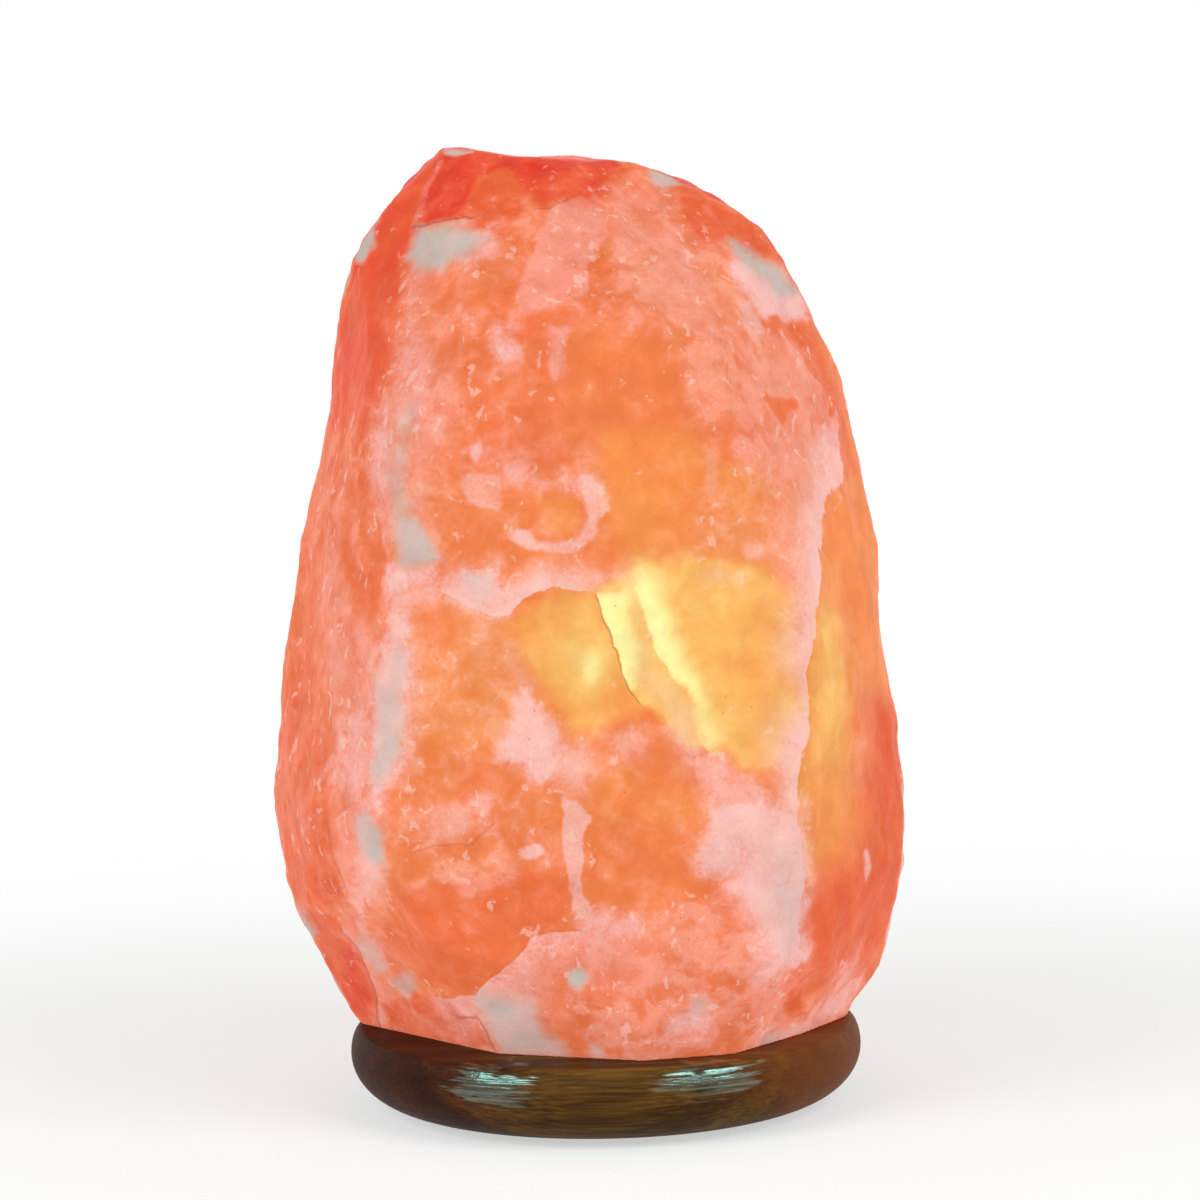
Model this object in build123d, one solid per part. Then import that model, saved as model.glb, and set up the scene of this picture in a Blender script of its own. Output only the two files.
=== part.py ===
from build123d import *
import os
from math import asin, cos, degrees, hypot, radians, sin, tan

# A salt crystal lamp: a rough chiselled block of rock salt, bored from below, on a turned wooden foot.
# A clip-in lampholder with a small tubular bulb is pushed up into the bore through the foot.
# Millimetres. The origin is on the axis of the foot, in the plane of the table. +Z is up and the front looks along -Y.

# --- the foot -----------------------------------------------------------------------------------------------
FELT_THICK = 1.0
FELT_OUTER_R = 46.5
FELT_INNER_R = 31.5
FOOT_R = 49.0             # radius of the flat underside
BELLY_R = 65.0            # widest radius of the foot
BELLY_Z = 14.0            # height of the widest line
BASE_TOP_R = 62.0         # radius where the rounded shoulder meets the flat top
BASE_TOP_Z = 20.5
BORE_R = 22.0             # one bore runs through the foot and on up into the crystal
RECESS_R = 28.0           # underside recess for the flange of the lampholder
RECESS_TOP_Z = 11.0
CORD_R = 2.5              # the round cord that the inlet is made for
CORD_Z = 5.6              # height of the cord's line
CHANNEL_R = 3.9           # half width of the channel that leads the cord out at the back

# --- the crystal's fixings ----------------------------------------------------------------------------------
SCREW_CIRCLE_R = 38.5
SCREW_ANGLES = (-90, 30, 150)
SCREW_R = 2.0
SCREW_HEAD_R = 4.0
SCREW_HEAD_Z = (2.6, 5.6)
SCREW_TIP_Z = 41.0
SCREW_HOLE_R = 2.4
SCREW_POCKET_R = 4.8
PLUG_R = 3.5
PLUG_TOP_Z = 44.5

# --- the crystal --------------------------------------------------------------------------------------------
CHAMBER_DOME_Z = 130.0    # the bore's straight wall ends here and a round end closes it
RIM_HALF = 7.0            # half the width, front to back, of the narrow face that forms the outline

# Cuts round the outline, clockwise from the lower left. Each row starts at a corner (x, z) of the outline and
# leads to the next: a narrow face forms the outline there, at this distance behind the axis, and the crystal
# falls away from it in two broader faces, turned this many degrees to the front and this many to the back.
OUTLINE_CUTS = (
    (-62.4, 20.5, 4, 24, 22),
    (-71.2, 37.0, 1, 22, 24),
    (-79.4, 55.5, 5, 18, 26),
    (-83.2, 77.0, 3, 17, 24),
    (-82.4, 92.0, 7, 18, 28),
    (-74.0, 140.0, 2, 20, 28),
    (-65.4, 195.0, -2, 24, 30),
    (-58.2, 217.0, 3, 30, 34),
    (-49.4, 230.8, 5, 38, 40),
    (-35.8, 243.4, -3, 28, 32),
    (11.0, 238.0, 4, 34, 38),
    (28.0, 231.2, 1, 36, 38),
    (43.2, 220.8, -2, 34, 36),
    (52.4, 205.5, 2, 28, 32),
    (62.4, 180.5, 6, 22, 28),
    (70.4, 146.0, 1, 20, 26),
    (75.0, 96.0, 4, 20, 26),
    (76.4, 70.0, 0, 22, 24),
    (74.6, 51.5, 4, 24, 22),
    (69.8, 33.5, 2, 26, 22),
)
OUTLINE_END = (61.0, 20.5)

# Broad faces: the direction that each looks in (degrees round from +X, then degrees up) and a point on it.
FACE_CUTS = {
    "front_low": (-91, -3, (0.0, -62.0, 92.0)),
    "front_high": (-92, 9, (0.0, -64.4, 139.0)),
    "front_left": (-108, 4, (-49.0, -56.0, 136.0)),
    "front_right": (-78, 3, (50.0, -54.0, 130.0)),
    "left_bevel": (-147, 8, (-50.5, -55.0, 136.0)),
    "left_bevel_low": (-143, -10, (-59.0, -54.0, 80.0)),
    "right_bevel": (-31, 6, (52.0, -53.0, 132.0)),
    "right_bevel_low": (-31, -2, (50.0, -54.0, 84.0)),
    "brow": (-95, 44, (0.0, -47.0, 205.0)),
    "under_left": (-139, -34, (-35.5, -31.0, 20.5)),
    "under_front": (-109, -32, (-15.0, -45.0, 20.5)),
    "under_right": (-75, -30, (14.0, -52.0, 20.5)),
    "under_corner": (-38, -32, (43.0, -33.0, 20.5)),
    "back_low": (88, -4, (0.0, 61.0, 90.0)),
    "back_mid": (93, 6, (0.0, 61.5, 120.0)),
    "back_high": (97, 20, (0.0, 52.0, 185.0)),
    "back_left": (133, 4, (-52.0, 50.0, 100.0)),
    "back_left_high": (140, 24, (-44.0, 42.0, 190.0)),
    "back_right": (48, 3, (50.0, 50.0, 100.0)),
    "back_right_high": (47, 22, (42.0, 40.0, 180.0)),
    "under_back": (92, -30, (0.0, 51.0, 20.5)),
    "under_back_left": (137, -32, (-38.0, 37.0, 20.5)),
    "under_back_right": (44, -32, (40.0, 36.0, 20.5)),
}

# Shallow round scoops where a flake came away: direction, a point on the face, radius of the hollow and its depth.
SCOOPS = {
    "under_the_ridge": (-92, -3, (-12.0, -62.8, 116.0), 62.0, 3.4),
    "beside_the_light": (-78, 2, (27.0, -58.5, 108.0), 90.0, 2.6),
    "upper_front": (-90, 12, (18.0, -56.0, 176.0), 110.0, 2.4),
    "low_front": (-92, -6, (6.0, -61.0, 66.0), 85.0, 2.2),
    "left_flank": (184, 9, (-71.5, 4.0, 166.0), 90.0, 2.2),
    "right_flank": (-6, 3, (74.0, 2.0, 119.0), 60.0, 2.2),
    "back_upper": (95, 12, (8.0, 58.0, 165.0), 95.0, 3.0),
    "back_lower": (84, -4, (-14.0, 60.5, 84.0), 80.0, 3.0),
}

# --- the lampholder -----------------------------------------------------------------------------------------
CAP_BOTTOM_Z = 1.8
CAP_R = 15.0
FLANGE_R = 27.0
FLANGE_Z = (9.0, 11.0)    # the flange bears up against the recess in the foot
CAP_TOP_Z = 24.0          # the cap reaches up inside the shell and carries the terminal block
CAP_WALL = 1.7
INLET_R = 3.3
SHELL_R = 14.0
SHELL_BORE_R = 12.2
SHELL_STEP_R = 11.0       # above the terminal block the shell is thicker
SHELL_TOP_Z = 62.0
SHELL_MOUTH_R = 9.0
BLOCK_Z = (24.0, 38.0)
BLOCK_R = 12.0
COLLAR_Z = 43.0           # ring on the block that holds the screw shell
TERMINAL_X = 6.9
TERMINAL_R = 2.5
POCKET_R = 3.0
STRIP_THICK = 0.6
STRIP_HALF_WIDTH = 2.0
THREAD_SHELL_R = 7.9
THREAD_SHELL_BORE_R = 7.3
THREAD_SHELL_Z = (39.4, 58.0)
CENTRE_LEG_X = (-7.4, -7.4 + STRIP_THICK)
SIDE_LEG_X = (THREAD_SHELL_R, THREAD_SHELL_R + STRIP_THICK)
TERMINAL_Z = (25.0, 30.6)
TERMINAL_SCREW_R = 1.1
GRIP_X = 6.4              # the two posts of the cord grip
GRIP_Y = 4.6
POST_R = 2.1
POST_TOP_Z = CORD_Z + CORD_R + 0.1
GRIP_BAR_TOP_Z = POST_TOP_Z + 2.2
GRIP_SCREW_R = 1.25
GRIP_SCREW_HEAD_R = 2.3

# --- the spring clips ---------------------------------------------------------------------------------------
CLIP_WIRE_R = 0.8
CLIP_HOLE_R = 0.85
CLIP_PIVOT_X = 15.6
CLIP_PIVOT_Z = 48.0
CLIP_FOOT_Z = 22.0        # height of the bar that bears on the wall of the bore
CLIP_HALF_WIDTH = 8.6
CLIP_CORNER_X = 18.6
CLIP_BAR_X = 21.4
CLIP_END_Y = 3.6
EAR_Y = (4.6, 6.6)
EAR_R = 2.2

# --- the bulb, measured up from its tip ---------------------------------------------------------------------
TIP_Z = 40.0
THREAD_PITCH = 2.82       # 14 mm small screw cap
THREAD_CREST_R = 6.92
THREAD_BEAD_R = 0.72
CAP_CORE_R = 6.2
CAP_SHELL_Z = (44.9, 59.5)
COLLAR_TOP_Z = 66.0
CAP_COLLAR_R = 8.3
GLASS_R = 12.5
GLASS_WALL = 0.7
GLASS_NECK_R = 7.7
GLASS_FOOT_Z = 62.8
GLASS_SHOULDER_Z = 77.0
GLASS_TOP_Z = 125.0
STEM_TOP_Z = 84.0
STEM_R = 2.6
ROD_R = 0.9
WIRE_R = 0.35
FILAMENT_R = 0.3
LEAD_TOP_Z = 92.0
LEAD_SPREAD = 5.0
HOOK_Z = 110.0
HOOK_SPREAD = 2.8
MIDDLE_HOOK_Z = 96.0

PARTS_FOLDER = "parts"


def direction(azimuth, lift):
    """The unit vector that points this many degrees round from +X and this many degrees up."""
    a, b = radians(azimuth), radians(lift)
    return Vector(cos(a) * cos(b), sin(a) * cos(b), sin(b))


def turned(*corners):
    """A solid turned about the lamp's axis from a closed outline of (radius, height) corners."""
    face = make_face(Polyline(*corners, close=True))
    return revolve(Plane.XZ * face, Axis.Z)


def rod(radius, low, high, x=0.0, y=0.0):
    """An upright round rod from one height to another."""
    return Pos(x, y, (low + high) / 2) * Cylinder(radius, high - low)


def block(x, y, z):
    """A box between three (low, high) pairs."""
    middle = Pos((x[0] + x[1]) / 2, (y[0] + y[1]) / 2, (z[0] + z[1]) / 2)
    return middle * Box(x[1] - x[0], y[1] - y[0], z[1] - z[0])


def bent_wire(radius, points, corner_radii):
    """A round wire along straight runs joined by arcs."""
    path = FilletPolyline(*points, radius=corner_radii) if corner_radii else Line(*points)
    start = Plane(origin=path @ 0, z_dir=path % 0)
    return sweep(start * Circle(radius), path=path)


def screw_places():
    for angle in SCREW_ANGLES:
        yield SCREW_CIRCLE_R * cos(radians(angle)), SCREW_CIRCLE_R * sin(radians(angle))


# --- the foot -----------------------------------------------------------------------------------------------

def wood_base():
    """The turned foot: a flat underside, a full round belly and a soft shoulder, with its bore and recesses."""
    underside = Line((0, FELT_THICK), (FOOT_R, FELT_THICK))
    belly = EllipticalCenterArc((FOOT_R, BELLY_Z), BELLY_R - FOOT_R, BELLY_Z - FELT_THICK, -90, arc_size=90)
    shoulder = EllipticalCenterArc((BASE_TOP_R, BELLY_Z), BELLY_R - BASE_TOP_R, BASE_TOP_Z - BELLY_Z, 0, arc_size=90)
    top = Line((BASE_TOP_R, BASE_TOP_Z), (0, BASE_TOP_Z))
    axis = Line((0, BASE_TOP_Z), (0, FELT_THICK))
    wood = revolve(Plane.XZ * make_face(underside + belly + shoulder + top + axis), Axis.Z)
    wood -= rod(BORE_R, 0, BASE_TOP_Z + 1)
    wood -= rod(RECESS_R, 0, RECESS_TOP_Z)
    wood -= cord_channel()
    for x, y in screw_places():
        wood -= rod(SCREW_HOLE_R, 0, BASE_TOP_Z + 1, x, y)
        wood -= rod(SCREW_POCKET_R, 0, SCREW_HEAD_Z[1], x, y)
    return wood


def cord_channel():
    """The round-topped groove from the recess out through the back of the foot."""
    start, end = BORE_R, BELLY_R + 5
    groove = block((-CHANNEL_R, CHANNEL_R), (start, end), (0, CORD_Z))
    crown = Pos(0, (start + end) / 2, CORD_Z) * Rot(90, 0, 0) * Cylinder(CHANNEL_R, end - start)
    return groove + crown


def felt_pad():
    """The felt ring under the foot, which covers the screws and is cut away where the cord runs out."""
    ring = rod(FELT_OUTER_R, 0, FELT_THICK) - rod(FELT_INNER_R, -1, FELT_THICK + 1)
    gap = CHANNEL_R + 1.5
    return ring - block((-gap, gap), (0, FELT_OUTER_R + 5), (-1, FELT_THICK + 1))


def crystal_screw(x, y):
    """A wood screw with a flat head and a cross slot, driven up from below."""
    low, high = SCREW_HEAD_Z
    point_z = SCREW_TIP_Z - 3 * SCREW_R / 2
    screw = turned((0, low), (SCREW_HEAD_R - 0.4, low), (SCREW_HEAD_R, low + 0.4), (SCREW_HEAD_R, high),
                   (SCREW_R, high), (SCREW_R, point_z), (0, SCREW_TIP_Z))
    slot_half, slot_deep = 2.4, 1.4
    for turn in (0, 90):
        screw -= Rot(0, 0, turn) * block((-slot_half, slot_half), (-0.5, 0.5), (low - 1, low + slot_deep))
    return Pos(x, y, 0) * screw


def crystal_screws():
    return Part() + [crystal_screw(x, y) for x, y in screw_places()]


def crystal_plugs():
    """The plastic plugs set in the salt, which the screws bite in."""
    plugs = []
    for x, y in screw_places():
        plug = rod(PLUG_R, BASE_TOP_Z, PLUG_TOP_Z, x, y)
        plugs.append(plug - crystal_screw(x, y))
    return Part() + plugs


# --- the crystal --------------------------------------------------------------------------------------------

def keep_inside(solid, point, outward):
    """What is left of a solid when everything past a plane is struck off."""
    return split(solid, bisect_by=Plane(origin=point, z_dir=outward), keep=Keep.BOTTOM)


def outline_planes():
    """The narrow face on each edge of the outline and the two broader ones beside it, as point and direction."""
    corners = [row[:2] for row in OUTLINE_CUTS] + [OUTLINE_END]
    for (x, z, behind, to_front, to_back), (next_x, next_z) in zip(OUTLINE_CUTS, corners[1:]):
        length = hypot(next_x - x, next_z - z)
        outward = Vector((z - next_z) / length, 0, (next_x - x) / length)
        edge = Vector(x, behind, z)
        yield edge, outward
        for turn, side in ((radians(to_front), -1), (radians(to_back), 1)):
            yield edge + outward * RIM_HALF * tan(turn), outward * cos(turn) + Vector(0, side * sin(turn), 0)


def rough_block():
    """The block of salt with its chiselled faces."""
    salt = block((-100, 100), (-80, 80), (BASE_TOP_Z, 260))
    for point, outward in outline_planes():
        salt = keep_inside(salt, point, outward)
    for azimuth, lift, point in FACE_CUTS.values():
        salt = keep_inside(salt, point, direction(azimuth, lift))
    for azimuth, lift, point, radius, depth in SCOOPS.values():
        middle = Vector(*point) + direction(azimuth, lift) * (radius - depth)
        salt -= Pos(middle) * Sphere(radius)
    return salt


def salt_crystal():
    """The crystal, bored from below for the lamp and drilled for its plugs."""
    salt = rough_block()
    salt -= rod(BORE_R, BASE_TOP_Z - 1, CHAMBER_DOME_Z)
    salt -= Pos(0, 0, CHAMBER_DOME_Z) * Sphere(BORE_R)
    for x, y in screw_places():
        salt -= rod(PLUG_R, BASE_TOP_Z - 1, PLUG_TOP_Z, x, y)
    return salt


# --- the lampholder -----------------------------------------------------------------------------------------

def holder_cap():
    """The lower half of the lampholder: a cup with the flange, the cord inlet and the posts of the cord grip."""
    inner = SHELL_BORE_R - CAP_WALL
    floor_z = CAP_BOTTOM_Z + CAP_WALL
    cap = turned((0, CAP_BOTTOM_Z), (CAP_R, CAP_BOTTOM_Z), (CAP_R, FLANGE_Z[0]), (FLANGE_R, FLANGE_Z[0]),
                 (FLANGE_R, FLANGE_Z[1]), (SHELL_BORE_R, FLANGE_Z[1]), (SHELL_BORE_R, CAP_TOP_Z),
                 (inner, CAP_TOP_Z), (inner, floor_z), (0, floor_z))
    for x in (-GRIP_X, GRIP_X):
        cap += rod(POST_R, floor_z - 0.5, POST_TOP_Z, x, GRIP_Y)
        cap -= rod(GRIP_SCREW_R, floor_z + 1, POST_TOP_Z + 1, x, GRIP_Y)
    cap -= Pos(0, CAP_R, CORD_Z) * Rot(90, 0, 0) * Cylinder(INLET_R, 2 * (CAP_R - inner) + 2)
    return cap


def cord_bush():
    """The short sleeve in the inlet, with a collar on each side of the cap's wall."""
    wall_in = SHELL_BORE_R - CAP_WALL
    length = 9.0
    body = Cylinder(INLET_R, length) - Cylinder(CORD_R + 0.1, length + 2)
    return Pos(0, wall_in + length / 2, CORD_Z) * Rot(90, 0, 0) * body


def cord_grip_bar():
    """The bar that is screwed down across the cord."""
    reach = GRIP_X + 2.4
    bar = block((-reach, reach), (GRIP_Y - 2.4, GRIP_Y + 2.4), (POST_TOP_Z, GRIP_BAR_TOP_Z))
    for x in (-GRIP_X, GRIP_X):
        bar -= rod(GRIP_SCREW_R, 0, GRIP_BAR_TOP_Z + 1, x, GRIP_Y)
    inside = rod(SHELL_BORE_R - CAP_WALL - 0.4, 0, GRIP_BAR_TOP_Z + 1)
    return bar & inside


def cord_grip_screws():
    screws = []
    for x in (-GRIP_X, GRIP_X):
        head_top = GRIP_BAR_TOP_Z + 1.6
        head = rod(GRIP_SCREW_HEAD_R, GRIP_BAR_TOP_Z, head_top, x, GRIP_Y)
        head -= block((x - 3, x + 3), (GRIP_Y - 0.35, GRIP_Y + 0.35), (head_top - 0.7, head_top + 1))
        screws.append(head + rod(GRIP_SCREW_R, CAP_BOTTOM_Z + CAP_WALL + 1, GRIP_BAR_TOP_Z, x, GRIP_Y))
    return Part() + screws


def holder_shell():
    """The tall upper half of the lampholder, with the two pairs of ears that the clips hang in."""
    top = SHELL_TOP_Z
    shell = turned((SHELL_BORE_R, FLANGE_Z[1]), (SHELL_R, FLANGE_Z[1]), (SHELL_R, top - 3), (SHELL_R - 1, top),
                   (SHELL_MOUTH_R, top), (SHELL_MOUTH_R, top - 2), (SHELL_STEP_R, top - 2),
                   (SHELL_STEP_R, BLOCK_Z[1]), (SHELL_BORE_R, BLOCK_Z[1]))
    for side in (-1, 1):
        for low, high in (EAR_Y, (-EAR_Y[1], -EAR_Y[0])):
            shell += clip_ear(side, low, high)
    for side in (-1, 1):
        shell -= Pos(side * CLIP_PIVOT_X, 0, CLIP_PIVOT_Z) * Rot(90, 0, 0) * Cylinder(CLIP_HOLE_R, 30)
    return shell - rod(SHELL_STEP_R, BLOCK_Z[1], top - 2)


def clip_ear(side, low, high):
    """One ear: a tongue from the shell with a round end about the clip's pivot."""
    x = sorted((side * (SHELL_STEP_R + 1), side * CLIP_PIVOT_X))
    tongue = block(x, (low, high), (CLIP_PIVOT_Z - EAR_R, CLIP_PIVOT_Z + EAR_R))
    end = Pos(side * CLIP_PIVOT_X, (low + high) / 2, CLIP_PIVOT_Z) * Rot(90, 0, 0) * Cylinder(EAR_R, high - low)
    return tongue + end


def terminal_block():
    """The insulating block: two terminal pockets below and a collar for the screw shell above."""
    body = rod(BLOCK_R, *BLOCK_Z) + rod(THREAD_SHELL_R + 2.4, BLOCK_Z[1], COLLAR_Z)
    body -= rod(THREAD_SHELL_R, BLOCK_Z[1], COLLAR_Z + 1)
    for x in (-TERMINAL_X, TERMINAL_X):
        body -= rod(POCKET_R, BLOCK_Z[0] - 1, 31, x)
    body -= block(*strip_slot(CENTRE_LEG_X, 31))
    body -= block(*strip_slot(SIDE_LEG_X, 31))
    return body


def strip_slot(leg_x, low_z):
    """The slot that a contact's leg passes through on its way down to its terminal."""
    return (leg_x[0], leg_x[1]), (-STRIP_HALF_WIDTH, STRIP_HALF_WIDTH), (low_z - 1, COLLAR_Z + 1)


def terminal(x):
    """A small brass pillar with a hole for its screw and a cross hole for the wire."""
    low, high = TERMINAL_Z
    pillar = rod(TERMINAL_R, low, high, x)
    pillar -= rod(TERMINAL_SCREW_R, low - 1, low + 3.5, x)
    return pillar - Pos(x, 0, low + 2.4) * Rot(90, 0, 0) * Cylinder(0.9, 12)


def centre_contact():
    """The contact under the bulb's tip, on a springy tongue, with its leg and terminal."""
    width = (-STRIP_HALF_WIDTH, STRIP_HALF_WIDTH)
    top_z = BLOCK_Z[1]
    leg = block(CENTRE_LEG_X, width, (TERMINAL_Z[1] - 0.6, top_z + STRIP_THICK))
    flat = block((CENTRE_LEG_X[0], -3.0), width, (top_z, top_z + STRIP_THICK))
    rise = Polyline((-3.0, top_z), (-3.0, top_z + STRIP_THICK), (0.0, TIP_Z - 0.3), (2.2, TIP_Z - 0.3),
                    (2.2, TIP_Z - 0.3 - STRIP_THICK), (0.3, TIP_Z - 0.3 - STRIP_THICK), (-2.2, top_z), close=True)
    tongue = extrude(Plane.XZ * make_face(rise), STRIP_HALF_WIDTH, both=True)
    return terminal(-TERMINAL_X) + leg + flat + tongue


def side_contact():
    """The contact strip against the outside of the screw shell, with its leg and terminal."""
    leg = block(SIDE_LEG_X, (-STRIP_HALF_WIDTH, STRIP_HALF_WIDTH), (TERMINAL_Z[1] - 0.6, COLLAR_Z - 0.5))
    return terminal(TERMINAL_X) + leg


def terminal_screws():
    screws = []
    low = TERMINAL_Z[0]
    for x in (-TERMINAL_X, TERMINAL_X):
        head = rod(2.0, low - 1.6, low, x)
        head -= block((x - 3, x + 3), (-0.3, 0.3), (low - 3, low - 0.9))
        screws.append(head + rod(TERMINAL_SCREW_R, low, low + 1.4, x))
    return Part() + screws


def screw_shell():
    """The brass sleeve that the bulb screws into."""
    low, high = THREAD_SHELL_Z
    return rod(THREAD_SHELL_R, low, high) - rod(THREAD_SHELL_BORE_R, low - 1, high + 1)


def spring_clip(side):
    """One wire clip: its ends sit in the ears and its bowed bar bears on the wall of the bore."""
    half, x, z = CLIP_HALF_WIDTH, side * CLIP_PIVOT_X, CLIP_PIVOT_Z
    corner, bar = side * CLIP_CORNER_X, side * CLIP_BAR_X
    points = [(x, CLIP_END_Y, z), (x, half, z), (corner, half, CLIP_FOOT_Z), (bar, 0, CLIP_FOOT_Z),
              (corner, -half, CLIP_FOOT_Z), (x, -half, z), (x, -CLIP_END_Y, z)]
    return bent_wire(CLIP_WIRE_R, points, [1.4, 2.4, 12.0, 2.4, 1.4])


# --- the bulb -----------------------------------------------------------------------------------------------

def cap_contact():
    """The solder tip of the bulb's cap."""
    return turned((0, TIP_Z), (1.4, TIP_Z), (2.2, TIP_Z + 0.6), (2.2, TIP_Z + 1.6), (0, TIP_Z + 1.6))


def cap_insulator():
    """The dark glass cone between the tip and the threaded shell."""
    low = TIP_Z + 1.65
    return turned((0, low), (2.7, low), (5.6, CAP_SHELL_Z[0] - 1.0), (5.6, CAP_SHELL_Z[0]), (0, CAP_SHELL_Z[0]))


def bulb_cap():
    """The screw cap: a brass shell with a rolled thread and a collar that grips the glass."""
    low, high = CAP_SHELL_Z
    wall = 0.4
    shell = turned((0, low), (CAP_CORE_R, low), (CAP_CORE_R, high), (CAP_COLLAR_R, high + 3),
                   (CAP_COLLAR_R, COLLAR_TOP_Z), (CAP_COLLAR_R - wall, COLLAR_TOP_Z),
                   (CAP_COLLAR_R - wall, high + 3.2), (CAP_CORE_R - wall, high + 0.2),
                   (CAP_CORE_R - wall, low + wall), (0, low + wall))
    for ring in range(5):
        ring_z = low + THREAD_BEAD_R + 0.6 + ring * THREAD_PITCH
        shell += Pos(0, 0, ring_z) * Torus(THREAD_CREST_R - THREAD_BEAD_R, THREAD_BEAD_R)
    return shell - rod(CAP_CORE_R - wall, low + wall, high)


def glass_outline(inset, foot_z):
    """Half of the section of the glass, drawn in by an inset, as a face beside the axis."""
    neck, wide = GLASS_NECK_R - inset, GLASS_R - inset
    neck_z, dome_z = COLLAR_TOP_Z + 1, GLASS_TOP_Z - GLASS_R
    half_out, half_up = (wide - neck) / 2, (GLASS_SHOULDER_Z - neck_z) / 2
    bend = (half_out ** 2 + half_up ** 2) / (2 * half_out)
    angle = degrees(asin(half_up / bend))
    flare = JernArc((neck, neck_z), (0, 1), bend, -angle)
    edges = Line((0, foot_z), (neck, foot_z)) + Line((neck, foot_z), (neck, neck_z)) + flare
    edges += JernArc(flare @ 1, flare % 1, bend, angle)
    edges += Line((wide, GLASS_SHOULDER_Z), (wide, dome_z)) + CenterArc((0, dome_z), wide, 0, 90)
    edges += Line((0, dome_z + wide), (0, foot_z))
    return make_face(edges)


def bulb_glass():
    """The blown glass: a tube with a round end, drawn in to a neck that the cap's collar grips."""
    wall = glass_outline(0, GLASS_FOOT_Z) - glass_outline(GLASS_WALL, GLASS_FOOT_Z - 1)
    return revolve(Plane.XZ * wall, Axis.Z)


def bulb_stem():
    """The glass flare, tube and rod that carry the wires."""
    flare_r = GLASS_NECK_R - GLASS_WALL
    foot = turned((0, GLASS_FOOT_Z), (flare_r, GLASS_FOOT_Z), (flare_r, GLASS_FOOT_Z + 1.2), (3.4, 67.0),
                  (STEM_R, 72.0), (STEM_R, STEM_TOP_Z), (0, STEM_TOP_Z))
    return foot + rod(ROD_R, STEM_TOP_Z, MIDDLE_HOOK_Z + 6)


def lead_wires():
    wires = []
    for side in (-1, 1):
        points = [(side * 1.7, 0, STEM_TOP_Z), (side * 1.7, 0, STEM_TOP_Z + 2),
                  (side * LEAD_SPREAD, 0, STEM_TOP_Z + 5), (side * LEAD_SPREAD, 0, LEAD_TOP_Z)]
        wires.append(bent_wire(WIRE_R, points, [0.8, 0.8]))
    return Part() + wires


def filament_supports():
    """The hooks on the rod's top that hold the filament up."""
    top = MIDDLE_HOOK_Z + 6
    hooks = [bent_wire(0.2, [(side * 0.4, 0, top), (side * HOOK_SPREAD, 0, HOOK_Z - 0.6)], None)
             for side in (-1, 1)]
    return Part() + hooks


def filament():
    """The coiled wire, as a fine rod of the coil's diameter, up and down over its hooks."""
    points = [(-LEAD_SPREAD, 0, LEAD_TOP_Z + 0.3), (-HOOK_SPREAD, 0, HOOK_Z), (0, -1.8, MIDDLE_HOOK_Z),
              (HOOK_SPREAD, 0, HOOK_Z), (LEAD_SPREAD, 0, LEAD_TOP_Z + 0.3)]
    return bent_wire(FILAMENT_R, points, [0.7, 0.7, 0.7])


NODES = {
    "salt_crystal": salt_crystal,
    "wood_base": wood_base,
    "felt_pad": felt_pad,
    "crystal_screws": crystal_screws,
    "crystal_plugs": crystal_plugs,
    "holder_cap": holder_cap,
    "holder_shell": holder_shell,
    "terminal_block": terminal_block,
    "screw_shell": screw_shell,
    "centre_contact": centre_contact,
    "side_contact": side_contact,
    "terminal_screws": terminal_screws,
    "cord_bush": cord_bush,
    "cord_grip_bar": cord_grip_bar,
    "cord_grip_screws": cord_grip_screws,
    "clip_left": lambda: spring_clip(-1),
    "clip_right": lambda: spring_clip(1),
    "cap_contact": cap_contact,
    "cap_insulator": cap_insulator,
    "bulb_cap": bulb_cap,
    "bulb_glass": bulb_glass,
    "bulb_stem": bulb_stem,
    "lead_wires": lead_wires,
    "filament_supports": filament_supports,
    "filament": filament,
}

os.makedirs(PARTS_FOLDER, exist_ok=True)
for node, make in NODES.items():
    export_step(make(), f"{PARTS_FOLDER}/{node}.step")
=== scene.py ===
"""Looks of the salt crystal lamp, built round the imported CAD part.

Lengths are in metres, unless a name or a comment says mm.
"""

import math
from functools import partial, reduce

import bmesh
import bpy
import numpy as np
from mathutils import Matrix, Vector
from mathutils.kdtree import KDTree


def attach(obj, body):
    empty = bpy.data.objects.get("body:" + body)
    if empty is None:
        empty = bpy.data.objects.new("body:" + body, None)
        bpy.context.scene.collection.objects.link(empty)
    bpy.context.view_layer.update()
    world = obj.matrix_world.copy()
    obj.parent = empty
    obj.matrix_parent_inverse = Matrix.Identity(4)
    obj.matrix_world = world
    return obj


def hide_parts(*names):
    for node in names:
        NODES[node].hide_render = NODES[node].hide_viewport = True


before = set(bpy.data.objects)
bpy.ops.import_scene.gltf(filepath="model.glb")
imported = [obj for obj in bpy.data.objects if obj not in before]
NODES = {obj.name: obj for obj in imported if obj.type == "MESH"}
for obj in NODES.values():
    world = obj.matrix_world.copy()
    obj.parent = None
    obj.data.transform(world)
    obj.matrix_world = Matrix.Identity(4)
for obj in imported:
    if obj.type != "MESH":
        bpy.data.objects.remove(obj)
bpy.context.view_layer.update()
MM = 0.001


def new_object(name, data):
    """An object in the scene."""
    made = bpy.data.objects.new(name, data)
    bpy.context.collection.objects.link(made)
    return made


# --- camera ---
EYE = Vector((0.0, -1.2, 0.262))
AIM = Vector((0.00086, 0.0, 0.1282))
AXIS_AWAY = 1206  # mm from the eye to the lamp's axis
ROLL = math.radians(-1.2)  # the photograph leans by this much
IMAGE_SIDE = 1200  # pixels
FOCAL_PIXELS = 4776
SENSOR = 36.0  # mm


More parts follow.
